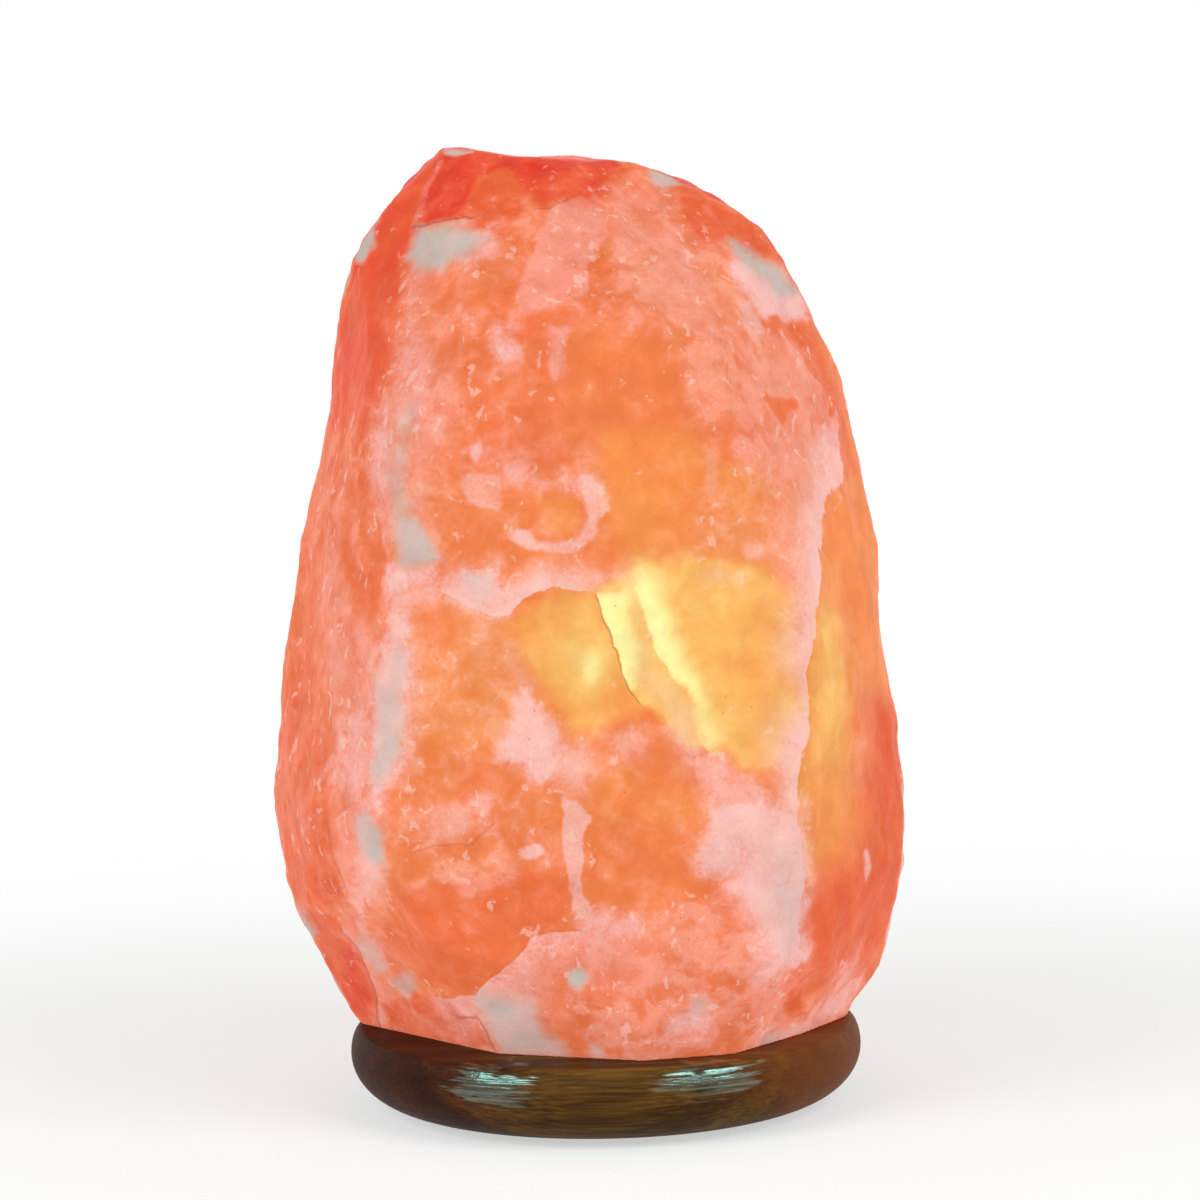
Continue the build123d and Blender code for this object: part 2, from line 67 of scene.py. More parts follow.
def camera_axes():
    """The camera's right, up and forward."""
    forward = (AIM - EYE).normalized()
    level = forward.cross(Vector((0, 0, 1))).normalized()
    upright = level.cross(forward)
    right = level * math.cos(ROLL) + upright * math.sin(ROLL)
    return right, upright * math.cos(ROLL) - level * math.sin(ROLL), forward


def add_camera():
    right, up, forward = camera_axes()
    data = bpy.data.cameras.new("camera")
    data.sensor_width = SENSOR
    data.lens = SENSOR * FOCAL_PIXELS / IMAGE_SIDE
    data.clip_end = 50
    camera = new_object("camera", data)
    turned = Matrix((right, up, -forward)).transposed().to_4x4()
    camera.matrix_world = Matrix.Translation(EYE) @ turned
    bpy.context.scene.camera = camera


# --- shader helpers ---

def colour(red, green, blue):
    """A screen colour, 0 to 255, as the linear numbers that a shader takes."""
    def linear(level):
        level /= 255
        return level / 12.92 if level <= 0.04045 else ((level + 0.055) / 1.055) ** 2.4
    return linear(red), linear(green), linear(blue), 1.0


class Nodes:
    """A tree of shader nodes. Inputs are numbers, colours or other nodes' outputs."""

    def __init__(self, owner, output):
        owner.use_nodes = True
        self.tree = owner.node_tree
        self.tree.nodes.clear()
        self.out = self.tree.nodes.new(output).inputs["Surface"]

    def put(self, socket, value):
        if isinstance(value, bpy.types.NodeSocket):
            self.tree.links.new(value, socket)
        else:
            socket.default_value = value

    def node(self, kind, inputs, output=0, **settings):
        made = self.tree.nodes.new("ShaderNode" + kind)
        for name, value in settings.items():
            setattr(made, name, value)
        for name, value in inputs.items():
            self.put(made.inputs[name], value)
        return made.outputs[output]

    def math(self, operation, *values):
        return self.node("Math", dict(enumerate(values)), operation=operation)

    def add(self, *values):
        return reduce(partial(self.math, "ADD"), values)

    def times(self, *values):
        return reduce(partial(self.math, "MULTIPLY"), values)

    def most(self, *values):
        return reduce(partial(self.math, "MAXIMUM"), values)

    def seen(self):
        """1 for the rays that show a background: straight to the camera, in a reflection or through glass."""
        kinds = ("Camera", "Glossy", "Transmission")
        return self.most(*(self.node("LightPath", {}, f"Is {kind} Ray") for kind in kinds))


class Shader(Nodes):
    """A material with one Principled shader."""

    def __init__(self, name):
        self.material = bpy.data.materials.new(name)
        super().__init__(self.material, "ShaderNodeOutputMaterial")
        self.surface = self.tree.nodes.new("ShaderNodeBsdfPrincipled")
        self.put(self.out, self.surface.outputs[0])
        self.place = self.node("TexCoord", {}, "Object")

    def set(self, **inputs):
        for name, value in inputs.items():
            self.put(self.surface.inputs[name.replace("_", " ")], value)

    def mix(self, share, a, b, blend="MIX"):
        return self.node("Mix", {0: share, 6: a, 7: b}, 2, data_type="RGBA", blend_type=blend)

    def step(self, value, low, high, out_low=0.0, out_high=1.0):
        """A smooth change from out_low to out_high while the value goes from low to high."""
        inputs = {"Value": value, "From Min": low, "From Max": high, "To Min": out_low, "To Max": out_high}
        return self.node("MapRange", inputs, interpolation_type="SMOOTHSTEP")

    def attribute(self, name):
        return self.node("Attribute", {}, "Fac", attribute_name=name)

    def noise(self, per_metre, detail=2.0, warp=0.0):
        """Noise from 0 to 1, with so many lumps per metre, or so many along X, Y and Z."""
        lumps = per_metre if isinstance(per_metre, tuple) else (per_metre,) * 3
        spot = self.node("VectorMath", {0: self.place, 1: lumps}, operation="MULTIPLY")
        inputs = {"Vector": spot, "Scale": 1.0, "Detail": detail, "Distortion": warp}
        return self.node("TexNoise", inputs, "Fac")

    def centred(self, value):
        """A value from 0 to 1, moved to lie round 0."""
        return self.add(value, -0.5)

    def ramp(self, value, stops):
        made = self.tree.nodes.new("ShaderNodeValToRGB")
        elements = made.color_ramp.elements
        while len(elements) < len(stops):
            elements.new(0.5)
        for element, (position, shade) in zip(elements, stops):
            element.position = position
            element.color = colour(*shade)
        self.put(made.inputs[0], value)
        return made.outputs[0]

    def bump(self, height, depth_mm, strength):
        inputs = {"Height": height, "Distance": depth_mm * MM, "Strength": strength}
        self.set(Normal=self.node("Bump", inputs))


def dress(node, material):
    """Gives a CAD node its finished material in each of its slots."""
    piece = NODES[node]
    if not piece.material_slots:
        piece.data.materials.append(material)
    for slot in piece.material_slots:
        slot.material = material


# --- noise on arrays of points ---

def random_value(cells, seed):
    """A fixed number from 0 to 1 for each whole-numbered cell."""
    mixed = cells[:, 0] * 73856093 ^ cells[:, 1] * 19349663 ^ cells[:, 2] * 83492791 ^ (seed * 40503 + 977)
    mixed = (mixed ^ (mixed >> 13)) & 0x7FFFFFFF
    mixed = (mixed * 1274126177) & 0x7FFFFFFF
    mixed = ((mixed ^ (mixed >> 15)) * 747796405) & 0x7FFFFFFF
    return mixed / 0x7FFFFFFF


def noise(points, size, seed):
    """Smooth noise from -1 to 1 with lumps of the given size."""
    spots = points / size
    cell = np.floor(spots).astype(np.int64)
    part = spots - cell
    ease = part ** 3 * (part * (part * 6 - 15) + 10)
    total = np.zeros(len(points))
    for corner in np.ndindex(2, 2, 2):
        share = np.prod(np.where(np.array(corner) > 0, ease, 1 - ease), axis=1)
        total += share * random_value(cell + np.array(corner), seed)
    return total * 2 - 1


def rough_noise(points, size, seed, octaves=3):
    """Noise with finer and weaker noise on top."""
    layers = [noise(points, size / 2 ** i, seed + i) / 2 ** i for i in range(octaves)]
    return sum(layers) / (2 - 2.0 ** (1 - octaves))


def flakes(points, size, seed):
    """How far each point is from the middle of its own irregular cell, in cells.

    This makes a bowl of each cell, with ridges between them.
    """
    spots = points / size
    cell = np.floor(spots).astype(np.int64)
    nearest = np.full(len(points), np.inf)
    for shift in np.ndindex(3, 3, 3):
        near = cell + np.array(shift) - 1
        middle = near + np.stack([random_value(near, seed + axis) for axis in range(3)], 1)
        nearest = np.minimum(nearest, ((middle - spots) ** 2).sum(1))
    return np.sqrt(nearest)


def rise(value, low, high):
    """0 below low, 1 above high, and a smooth step between."""
    share = np.clip((value - low) / (high - low), 0, 1)
    return share * share * (3 - 2 * share)


# --- the crystal: what its front shows ---
# Lines and outlines are pixels of the photograph, across and down, read off it. Soft edges, fades, widths and
# other lengths are mm on the upright plane through the lamp's axis.
PIXELS_PER_MM = FOCAL_PIXELS / AXIS_AWAY

# Outlines that several tables share.
TRIANGLE = "760,394 776,398 793,401 784,427 768,409"
BY_THE_CURL = "766,321 781,322 785,331 772,338"
SMALL_BY_THE_CURL = "739,343 751,355 741,361"
NOTCH = "780,974 801,962 803,990 800,1015 786,1015 777,995"
TOP_PATCH = (
    "595,193 575,197 550,205 542,229 534,252 526,273 517,297 526,314 555,306 581,293 588,262 600,248 613,231 "
    "604,215 601,199"
)

# Spots of warmer, brighter painted glow: warmth, place, half width, half height.
WARM_SPOTS = {
    "soft spot beside the crack": (0.95, (591, 670), 4, 6),
    "over the right wedge": (0.9, (640, 584), 6, 5),
    "around it": (0.8, (580, 660), 9, 14),
    "the bevel's stripe": (0.74, (832, 690), 4, 24),
}

# How warm the salt glows, from 0, deep red, over 0.5, orange, to 1, pale yellow:
# warmth, soft edge, outline.
GLOW = {
    "upper front": (0.4, 10, "395,200 640,165 790,290 800,480 385,480"),
    "middle": (0.47, 10, "385,470 820,470 805,880 365,880"),
    "upper right pale orange": (0.44, 8, "600,200 700,240 760,300 800,400 720,430 640,300"),
    "left bevel top": (0.16, 8, "445,140 418,228 400,262 395,290 330,300 330,140"),
    "left bevel middle": (0.19, 10, "330,290 398,280 385,380 365,440 300,440"),
    "left bevel low": (0.34, 10, "300,430 372,430 384,480 384,600 290,600"),
    "far left band": (0.35, 2.5, "325,565 322,700 331,710 323,735 325,800 265,800 265,560"),
    "far left edge": (0.3, 5, "299,700 298,800 325,800 334,855 344,888 329,905 300,905 265,880 262,720"),
    "facet": (0.4, 7, "325,560 345,560 370,625 378,640 375,800 360,880 345,888 330,800 323,700"),
    "lower left": (0.26, 5, "327,903 347,925 355,942 373,985 378,1018 330,1018 290,920"),
    "deep lower left": (0.15, 4, "345,940 357,950 368,985 373,1012 355,1008 338,975"),
    "top red": (0.08, 0.9, "434,160 448,148 475,143 492,144 499,151 540,153 600,157 626,169 598,177 572,180 "
        "545,186 526,189 519,177 509,170 497,172 480,182 471,196 466,218 443,220 419,226 423,196"),
    "under the red": (0.17, 5, "520,184 560,178 625,170 600,200 540,205"),
    "tongue": (0.27, 1.2, "466,219 471,196 480,182 497,173 509,170 519,176 525,186 522,215 500,240 472,232"),
    "red beside the block": (0.14, 2.5, "423,228 408,236 396,262 400,280 380,270 392,240 412,222"),
    "right shoulder": (0.27, 2.5, "679,186 722,206 750,213 768,234 785,262 765,257 748,246 728,244 708,250 "
        "697,233 675,200"),
    "centre": (0.44, 9, "565,330 650,330 700,420 680,520 600,520 560,420"),
    "centre low": (0.56, 7, "600,430 690,430 760,480 760,560 640,560 590,500"),
    "behind the wedges": (0.78, 2.5, "596,588 640,572 668,578 702,640 716,690 710,745 690,750 655,712 "
        "634,700 610,660"),
    "inside the ring": (0.56, 1.6, "536,500 560,494 578,500 580,520 565,535 540,530"),
    "amber left": (0.56, 7, "420,610 470,605 520,640 520,720 470,770 425,740"),
    "amber deep corner": (0.48, 4, "416,612 428,606 460,612 450,660 428,650"),
    "amber by the crack": (0.67, 5, "505,620 560,596 596,592 612,650 640,706 600,738 572,728 548,690 "
        "515,655"),
    "amber right": (0.74, 5, "640,560 700,555 760,565 790,600 795,700 770,760 745,770 709,745 698,734 "
        "689,690"),
    "amber right edge": (0.7, 6, "740,575 795,590 800,700 775,765 740,765 735,660"),
    "low smooth": (0.52, 8, "596,770 700,775 705,830 600,830"),
    "low smooth dark": (0.44, 9, "594,830 700,830 695,905 600,905"),
    "low left smooth": (0.36, 4, "400,890 520,870 560,890 560,930 520,945 480,996 400,980 375,930"),
    "low left orange": (0.45, 10, "390,770 480,760 550,790 560,860 500,840 400,850"),
    "bottom": (0.4, 8, "480,1000 600,930 700,970 800,975 850,1000 840,1070 380,1070 380,1005"),
    "bottom orange": (0.28, 1.6, "381,1004 412,990 450,1000 470,1018 488,1035 492,1046 450,1044 400,1034"),
    "right bevel": (0.52, 1.0, "776,320 792,348 803,373 817,396 824,417 833,440 840,456 840,475 833,500 "
        "825,525 819,552 818,600 816,640 809,704 806,761 802,800 802,960 930,960 930,300 806,323"),
    "right bevel top": (0.28, 8, "776,320 806,323 850,420 850,470 838,440 815,390"),
    "bevel yellow": (0.76, 7, "815,600 845,625 852,700 845,760 812,790 810,700"),
    "bevel amber": (0.6, 9, "803,760 850,740 845,850 803,880"),
    "bevel red edge": (0.24, 10, "872,700 930,700 930,920 885,920 868,820"),
    "bevel red": (0.27, 10, "800,890 870,840 905,820 900,940 870,990 800,975"),
    "triangle": (0.33, 1.0, TRIANGLE),
    "by the curl": (0.36, 1.4, BY_THE_CURL),
    "small one by the curl": (0.36, 1.2, SMALL_BY_THE_CURL),
    "notch": (0.3, 1.8, NOTCH),
    "left wedge": (0.37, 1.6, "325,528 335,535 350,560 358,595 371,626 379,612 381,590 385,562 384,530 "
        "378,510 340,505"),
}

# Painted glow of thin salt by the bulb, bright from a crisp line on and fading to the left of it: warmth,
# fade, line.
HOT = {
    "left wedge by the crack": (0.95, 10, "596,596 601,619 610,641 621,664 627,682 634,692"),
    "right wedge": (1.0, 5.6, "638,592 643,606 649,619 654,638 660,656 670,673 682,688"),
    "its tail": (0.8, 5, "681,684 690,702 691,716 696,731 703,744"),
}

# Where that light doesn't reach: share taken away, soft edge, outline.
DIM = {
    "between the wedges": (0.92, 1.6, "632,588 640,606 648,620 654,638 660,656 671,675 686,683 694,702 "
        "691,715 695,732 700,745 688,748 668,722 645,700 637,694 640,680 642,646 638,625 630,612"),
    "under the belt": (0.95, 1.2, "440,510 634,510 640,562 634,590 600,595 560,592 520,600 440,600"),
    "under the crack": (0.9, 2.0, "634,690 700,745 690,800 600,760 620,700"),
}

# Milky salt: strength, soft edge, outline. With a fourth number, a band of that half width along a line.
MILK = {
    "haze upper left": (0.46, 8, "403,272 425,272 426,330 440,380 442,440 375,440 365,400 385,380 395,330"),
    "beside the grey strip": (0.6, 5.5, "378,400 394,392 392,440 388,520 386,560 377,540 374,450"),
    "right of the strip": (0.38, 8, "412,395 440,395 440,440 430,500 440,540 412,520"),
    "lilac under the blob": (0.9, 6.5, "384,562 440,560 436,585 400,595 382,590"),
    "peach under the lilac": (0.6, 6.5, "378,580 436,575 452,580 440,602 416,612 384,618"),
    "lilac band": (0.88, 6.5, "388,612 408,612 412,660 410,720 400,770 380,810 365,810 370,740 374,680"),
    "peach beside the band": (0.45, 6.5, "408,612 416,620 424,650 431,690 428,730 405,775 385,810 395,760 "
        "405,700"),
    "facet pink": (0.34, 3.5, "326,540 334,545 345,580 360,615 376,640 374,720 372,800 358,880 345,886 "
        "334,850 327,800 323,735 331,708 323,690 323,600"),
    "facet lilac": (0.62, 8, "330,715 368,705 370,780 350,800 325,780"),
    "left edge pink": (0.22, 6.5, "270,720 292,712 298,760 298,800 310,830 280,830 268,770"),
    "low left band": (0.6, 6.5, "352,800 372,800 385,830 386,870 372,900 362,930 352,930 345,890 358,850"),
    "low left band's foot": (0.34, 6.5, "345,895 368,905 380,940 410,975 412,1000 384,1015 374,985 357,940 "
        "340,915"),
    "belt right": (0.62, 5, "550,572 590,566 632,568 636,582 600,590 550,592"),
    "belt left": (0.9, 6.5, "448,580 462,570 500,566 504,606 486,611 470,603 455,597"),
    "between wedges": (0.42, 5, "628,585 638,600 645,625 650,660 672,680 688,690 694,720 700,745 690,755 "
        "663,715 643,690 636,680 640,645 638,615"),
    "diagonal": (0.6, 6.5, "655,695 690,700 702,742 732,764 765,783 780,800 790,830 760,850 715,800 695,780"),
    "diagonal low": (0.9, 6.5, "706,806 770,795 802,800 802,960 780,970 762,930 735,890 700,875"),
    "ridge foot": (0.7, 6.5, "745,900 800,880 801,960 780,973 770,990 755,985"),
    "patch under the amber": (0.85, 4, "507,702 520,692 530,690 545,715 560,735 562,755 556,772 540,778 "
        "522,770 500,762 503,735"),
    "its right side": (0.55, 5.5, "545,770 560,740 590,745 600,770 590,800 566,790"),
    "patch under the crack": (0.45, 6.5, "604,732 640,725 646,755 612,762"),
    "low left patch": (0.46, 5, "418,822 432,807 460,803 475,808 478,820 460,838 432,846 422,838"),
    "tail of the low left patch": (0.6, 1.2, "474,806 476,797 491,796 491,812 482,815"),
    "vein": (0.62, 0.9, "561,795 575,800 594,818 585,832 584,868 586,900 596,910 590,925 574,914 567,890 "
        "563,860 561,832 565,815"),
    "vein foot": (0.65, 5, "574,905 600,912 650,918 640,945 580,940"),
    "bottom band": (0.12, 9.5, "560,1000 660,1010 760,1000 800,1015 850,1000 840,1080 480,1080 545,1040"),
    "bottom right pale": (0.7, 5, "663,1015 700,1005 712,1020 700,1040 662,1040"),
    "rim right": (0.6, 5, "766,1030 800,1018 835,992 852,965 866,968 858,1010 800,1045 740,1062"),
    "rim": (0.4, 4, "385,1028 430,1046 500,1056 570,1060 640,1064 700,1062 745,1055", 2.0),
    "top patch": (0.36, 1, TOP_PATCH),
    "top patch right": (0.34, 5.5, "600,195 660,190 690,235 700,260 720,300 700,330 640,300 620,255 608,230"),
    "upper right broad": (0.2, 11, "610,200 680,210 735,270 760,330 745,380 690,330 640,320"),
    "beside the block": (0.5, 5, "472,225 495,222 498,245 490,262 460,270 440,275 470,250"),
    "lilac under grey": (0.9, 3.0, "730,254 752,262 768,280 803,292 807,322 790,324 765,316 755,296 740,285 "
        "730,275"),
    "curl": (0.55, 3, "735,300 748,292 765,316 772,322 766,335 752,345 744,330"),
    "band in the corner": (0.32, 6.5, "745,345 792,350 803,375 817,398 826,420 836,445 838,480 800,500 "
        "770,470 765,430 750,390"),
    "soft triangle": (0.6, 3.5, "492,325 512,322 522,345 520,362 495,360 486,348"),
    "upper middle crumbs": (0.45, 1.4, "552,330 568,327 568,350 562,378 552,376 556,350"),
    "blob beside the strip": (0.7, 1.4, "471,444 482,441 487,452 479,462 470,456"),
    "blob left of the ring": (0.5, 1.4, "459,480 464,474 500,476 505,500 500,512 480,511 466,502"),
    "blob over the ring": (0.55, 5, "506,458 528,457 535,475 525,488 508,482"),
    "ring": (0.6, 1.4, "514,537 526,546 545,549 565,547 580,541 590,528 596,514 598,498 590,486 "
        "580,481", 1.5),
    "ring right knob": (0.7, 1.3, "576,476 592,474 605,486 612,508 604,514 598,500 592,512 585,500 588,488"),
    "ring left knob": (0.7, 1.2, "511,538 515,529 526,530 533,541 528,550 516,547"),
    "ring low knob": (0.6, 1.2, "556,540 570,538 577,545 566,552 553,551"),
    "above the ring": (0.5, 5, "528,470 560,474 595,474 604,495 590,500 560,490 530,492"),
    "streaks": (0.35, 1.5, "711,458 711,486", 1.6),
    "blobs over the amber": (0.45, 4, "698,572 720,568 742,574 738,588 704,587"),
    "blob under the corner": (0.6, 3, "745,540 757,540 757,556 745,556"),
    "blob beside the ridge": (0.45, 3, "767,534 783,532 781,546 769,546"),
    "bevel pink": (0.35, 5, "853,735 866,738 864,790 852,784"),
    "bevel pink low": (0.55, 5, "838,960 860,945 866,970 850,1005 830,1005"),
    "bevel streak": (0.8, 0.9, "864,848 868,846 870,862 866,880 862,872"),
    "top left ridge": (0.45, 1.2, "440,163 432,178 427,195 421,215", 1.0),
    "low middle blob": (0.8, 1, "520,846 532,843 542,852 534,861 521,860"),
    "pink in the amber": (0.4, 6.5, "468,625 488,622 494,645 478,655"),
    "pink beside the amber": (0.4, 8, "500,645 520,660 540,700 520,700 505,690"),
}

# Milky ridges that start crisply at a line and fade to the left of it: strength, fade, line.
RIDGES = {
    "right ridge foot": (0.95, 9, "801,962 803,898 802,829 801,790"),
    "right ridge low": (1.0, 8.0, "801,795 806,761 808,730"),
    "right ridge narrow": (0.9, 4.0, "808,735 809,704 810,670 813,648"),
    "right ridge middle": (1.0, 8.5, "813,652 817,624 819,587 818,562"),
    "right ridge neck": (0.8, 2.0, "818,565 821,548"),
    "right ridge high": (0.8, 8.5, "821,552 826,520 832,500 838,470 836,445"),
    "right ridge corner": (0.42, 6.5, "836,450 831,425 824,405 817,392 803,373 792,348 780,325"),
    "belt": (0.95, 5.5, "455,599 470,604 486,611 508,610 520,601 535,594 554,593 575,593"),
    "low crisp edge": (0.6, 14, "600,930 563,935 527,940 516,955 498,973 480,996 457,996"),
    "lower left edge": (0.45, 6, "345,925 355,942 366,964 373,985 375,1003 378,1018"),
    "lower edge of the top patch": (0.5, 2.6, "522,296 527,308 545,310 570,299 586,291 587,268 600,247 "
        "612,230 611,212"),
    "wedge edge": (0.4, 6, "336,520 345,548 358,588 371,625"),
}

# Windows in the milky salt, where the clear salt shows: strength, soft edge, outline.
CLEAR = {
    "triangle in the corner": (0.9, 1.2, TRIANGLE),
    "beside the curl": (0.9, 1.6, BY_THE_CURL),
    "small one beside the curl": (0.8, 1.2, SMALL_BY_THE_CURL),
    "notch at the foot of the ridge": (0.9, 2.0, NOTCH),
    "inside the ring": (0.9, 1.6, "538,502 560,496 578,502 580,520 565,535 540,530"),
    "wedge on the left": (0.9, 1.6, "340,505 378,510 384,530 385,562 381,590 378,620 371,626 358,595 350,560 "
        "340,535"),
}

# Frosted, crumbly salt: how much of the place it covers, soft edge, outline.
FROST = {
    "front wash": (0.42, 8, "400,230 620,190 790,330 800,480 390,480"),
    "clear middle": (0.2, 12, "540,330 660,330 690,430 680,540 610,540 560,470"),
    "top patch": (0.8, 1.5, TOP_PATCH),
    "right wash": (0.54, 8, "620,200 680,210 735,260 760,330 745,420 690,420 680,340 630,320 610,260"),
    "upper middle crumbs": (0.72, 2, "548,328 570,326 570,380 555,382"),
    "crumbs right": (0.66, 5, "690,330 735,330 740,400 700,410 680,370"),
    "corner": (0.62, 4, "745,345 800,370 830,440 820,500 740,500 730,430"),
    "triangle": (0.0, 1.2, TRIANGLE),
    "left haze": (0.52, 5, "380,380 450,380 455,470 440,540 385,560"),
    "middle band": (0.46, 4, "450,430 600,440 610,530 560,556 500,540 455,520"),
    "amber": (0.14, 4, "500,600 790,560 795,740 740,765 690,690 600,735 540,700"),
    "low smooth": (0.34, 7, "596,770 690,780 695,900 600,905"),
    "low left clear": (0.26, 7, "395,905 520,890 540,930 480,990 400,975"),
    "crumbly": (0.74, 3, "412,858 440,850 478,828 505,820 520,850 512,885 470,895 425,880"),
    "low front": (0.48, 6, "400,790 560,790 560,870 400,870"),
    "low right": (0.61, 4, "600,925 760,900 800,960 780,1040 600,1050 560,1000"),
    "facet": (0.5, 3, "326,560 345,580 376,640 370,800 345,880 325,780"),
    "left edge": (0.46, 6, "300,430 372,430 382,500 384,570 290,570"),
    "amber left": (0.52, 5, "430,640 500,640 510,740 440,780"),
    "amber top right": (0.5, 5, "700,480 800,480 800,560 690,560"),
    "right bevel": (0.0, 3, "806,323 830,400 845,470 822,560 812,700 806,960 860,960 930,900 930,500 "
        "850,400"),
    "left bevel": (0.16, 5, "440,140 400,260 390,340 376,400 300,410 330,280"),
}

# Opaque chalky salt that the light doesn't come through: strength, soft edge, outline.
CHALK = {
    "block": (0.95, 3.2, "418,229 440,226 465,228 478,242 468,254 452,258 440,268 416,268 410,252"),
    "tip": (1.0, 1.0, "441,148 448,141 462,141 472,150 460,154 444,155"),
    "left strip": (0.9, 1.4, "362,232 370,226 371,242 362,258 355,262 353,250"),
    "left strip low": (0.5, 1.2, "371,208 378,205 377,220 371,226"),
    "right tip": (0.9, 1.4, "645,170 655,166 668,172 680,186 664,190 650,186"),
    "diagonal": (1.0, 3.0, "733,241 745,243 767,258 787,268 803,292 782,292 767,278 748,262 735,254"),
    "strip top": (0.35, 3, "404,398 414,400 408,440 404,455 394,450 395,425"),
    "strip": (0.6, 3, "393,445 406,445 406,480 412,515 398,522 390,480"),
    "blob": (0.95, 3.0, "398,518 420,518 430,538 440,560 418,563 400,560 396,540"),
    "lower strip": (0.7, 3.2, "380,690 400,690 405,715 398,745 390,775 376,790 372,770 377,730"),
    "lower strip high": (0.45, 2, "398,640 410,655 404,690 392,690"),
    "small low": (0.85, 2.6, "355,812 366,812 381,830 382,850 378,865 366,855 358,836"),
    "streak low": (0.6, 2.4, "360,930 370,940 385,962 380,970 368,958 358,942"),
    "low knob": (0.6, 2.2, "395,974 412,972 416,986 404,992 395,985"),
    "big bottom": (0.86, 4.0, "480,998 530,998 538,1012 548,1036 566,1050 562,1058 505,1054 492,1034"),
    "low middle knob": (0.95, 1.6, "566,972 582,970 588,982 578,992 565,988"),
    "low right knob": (0.6, 2.4, "686,1000 702,999 706,1012 692,1016"),
    "right rim knob": (0.6, 2, "762,1032 776,1034 774,1045 762,1044"),
    "rim knob": (0.55, 1.6, "590,1040 602,1044 606,1055 594,1055"),
    "ridge grey": (0.42, 6, "776,850 800,848 801,945 788,948 776,900"),
    "left edge": (0.8, 1.6, "300,908 312,915 318,932 310,938 302,922"),
    "left low edge": (0.65, 1.4, "330,984 340,992 354,1014 345,1016 332,1000"),
    "belt grey": (0.55, 2.6, "463,574 495,574 497,594 470,596"),
    "rim left": (0.45, 1.6, "392,1032 412,1036 432,1048 410,1044"),
}

# Dark hair cracks and edges of flakes: strength, half width, line.
CRACKS = {
    "main": (0.45, 0.25, "596,600 603,625 612,648 622,668 628,684 636,696"),
    "under red": (0.45, 0.35, "419,226 443,221 466,218"),
    "left of the red": (0.15, 0.25, "433,166 424,195 419,225"),
    "bottom": (0.4, 0.25, "462,1014 478,1019 488,1035 494,1046"),
    "bottom boundary": (0.1, 0.25, "600,929 563,934 527,939 516,954 498,972 480,995"),
    "lower left": (0.35, 0.3, "347,927 356,942 366,964 373,985 375,1003 378,1018"),
    "facet corner": (0.22, 0.25, "327,825 334,855 344,888 329,892"),
    "patch lower edge": (0.2, 0.25, "425,848 445,846 470,842 490,826"),
    "top patch crack": (0.3, 0.25, "541,208 556,204 570,198"),
    "red strokes": (0.3, 0.3, "545,176 575,170 610,166"),
}

# --- the crystal: mesh ---
# Lengths are mm here, apart from the meshes' own.
VOXEL = 1.2
SHARP = math.radians(7)  # a CAD edge that turns by more than this counts as an edge of the rock
BASE_TOP = 20.5
CHAMBER_REACH = 24.0  # from the axis: inside this and below the next is the bore
CHAMBER_TOP = 155.0
BULB_MIDDLE = np.array([0.0, 0.0, 104.0])
FULL_FRONT = 0.18  # cosine of a face's angle to the eye from which on it counts as the front
FRONT_GLOW = 0.44  # the front's warmth and frost where no table says otherwise
FRONT_FROST = 0.36
RIDGE_REACH = 6.0  # how far from a ridge its sides are told apart
CRACK_REACH = 1.8  # how far from a crack it can show
FAR = 9.0  # from a crack, in mm or in half widths, where nothing of it shows
BOWL_MEAN = 0.26  # of flakes() squared, so that the relief neither adds nor takes salt


def even_copy(source, name):
    """A copy of a CAD node's shape as an even mesh of small squares."""
    mesh = source.data.copy()
    joined = bmesh.new()
    joined.from_mesh(mesh)
    bmesh.ops.remove_doubles(joined, verts=joined.verts, dist=1e-6)
    joined.to_mesh(mesh)
    joined.free()
    piece = new_object(name, mesh)
    remesh = piece.modifiers.new("even", "REMESH")
    remesh.mode = "VOXEL"
    remesh.voxel_size = VOXEL * MM
    made = bpy.data.meshes.new_from_object(piece.evaluated_get(bpy.context.evaluated_depsgraph_get()))
    piece.modifiers.clear()
    piece.data = made
    made.name = name
    made.materials.clear()
    return piece


def edge_distance(source, points):
    """Distance from each point to the nearest sharp edge of a CAD node, apart from those of its bore."""
    mesh = bmesh.new()
    mesh.from_mesh(source.data)
    bmesh.ops.remove_doubles(mesh, verts=mesh.verts, dist=1e-6)
    spots = []
    for edge in mesh.edges:
        if len(edge.link_faces) == 2 and edge.calc_face_angle() > SHARP:
            start, end = edge.verts[0].co, edge.verts[1].co
            count = max(1, int((end - start).length / MM))
            spots += [start.lerp(end, i / count) for i in range(count + 1)]
    mesh.free()
    spots = [s for s in spots if math.hypot(s.x, s.y) > CHAMBER_REACH * MM or s.z > CHAMBER_TOP * MM]
    tree = KDTree(len(spots))
    for index, spot in enumerate(spots):
        tree.insert(spot, index)
    tree.balance()
    return np.array([tree.find(p)[2] for p in points * MM]) / MM


def on_picture(places):
    """Pixels, as text or as numbers, in mm on the upright plane through the lamp's axis."""
    if isinstance(places, str):
        places = [place.split(",") for place in places.split()]
    return np.array(places, float) / PIXELS_PER_MM


def seen_from_camera(points):
    """Where points show in the picture."""
    right, up, forward = (np.array(axis) for axis in camera_axes())
    away = points * MM - np.array(EYE)
    depth = away @ forward
    across, down = away @ right / depth, -(away @ up) / depth
    return on_picture(IMAGE_SIDE / 2 + FOCAL_PIXELS * np.stack([across, down], 1))


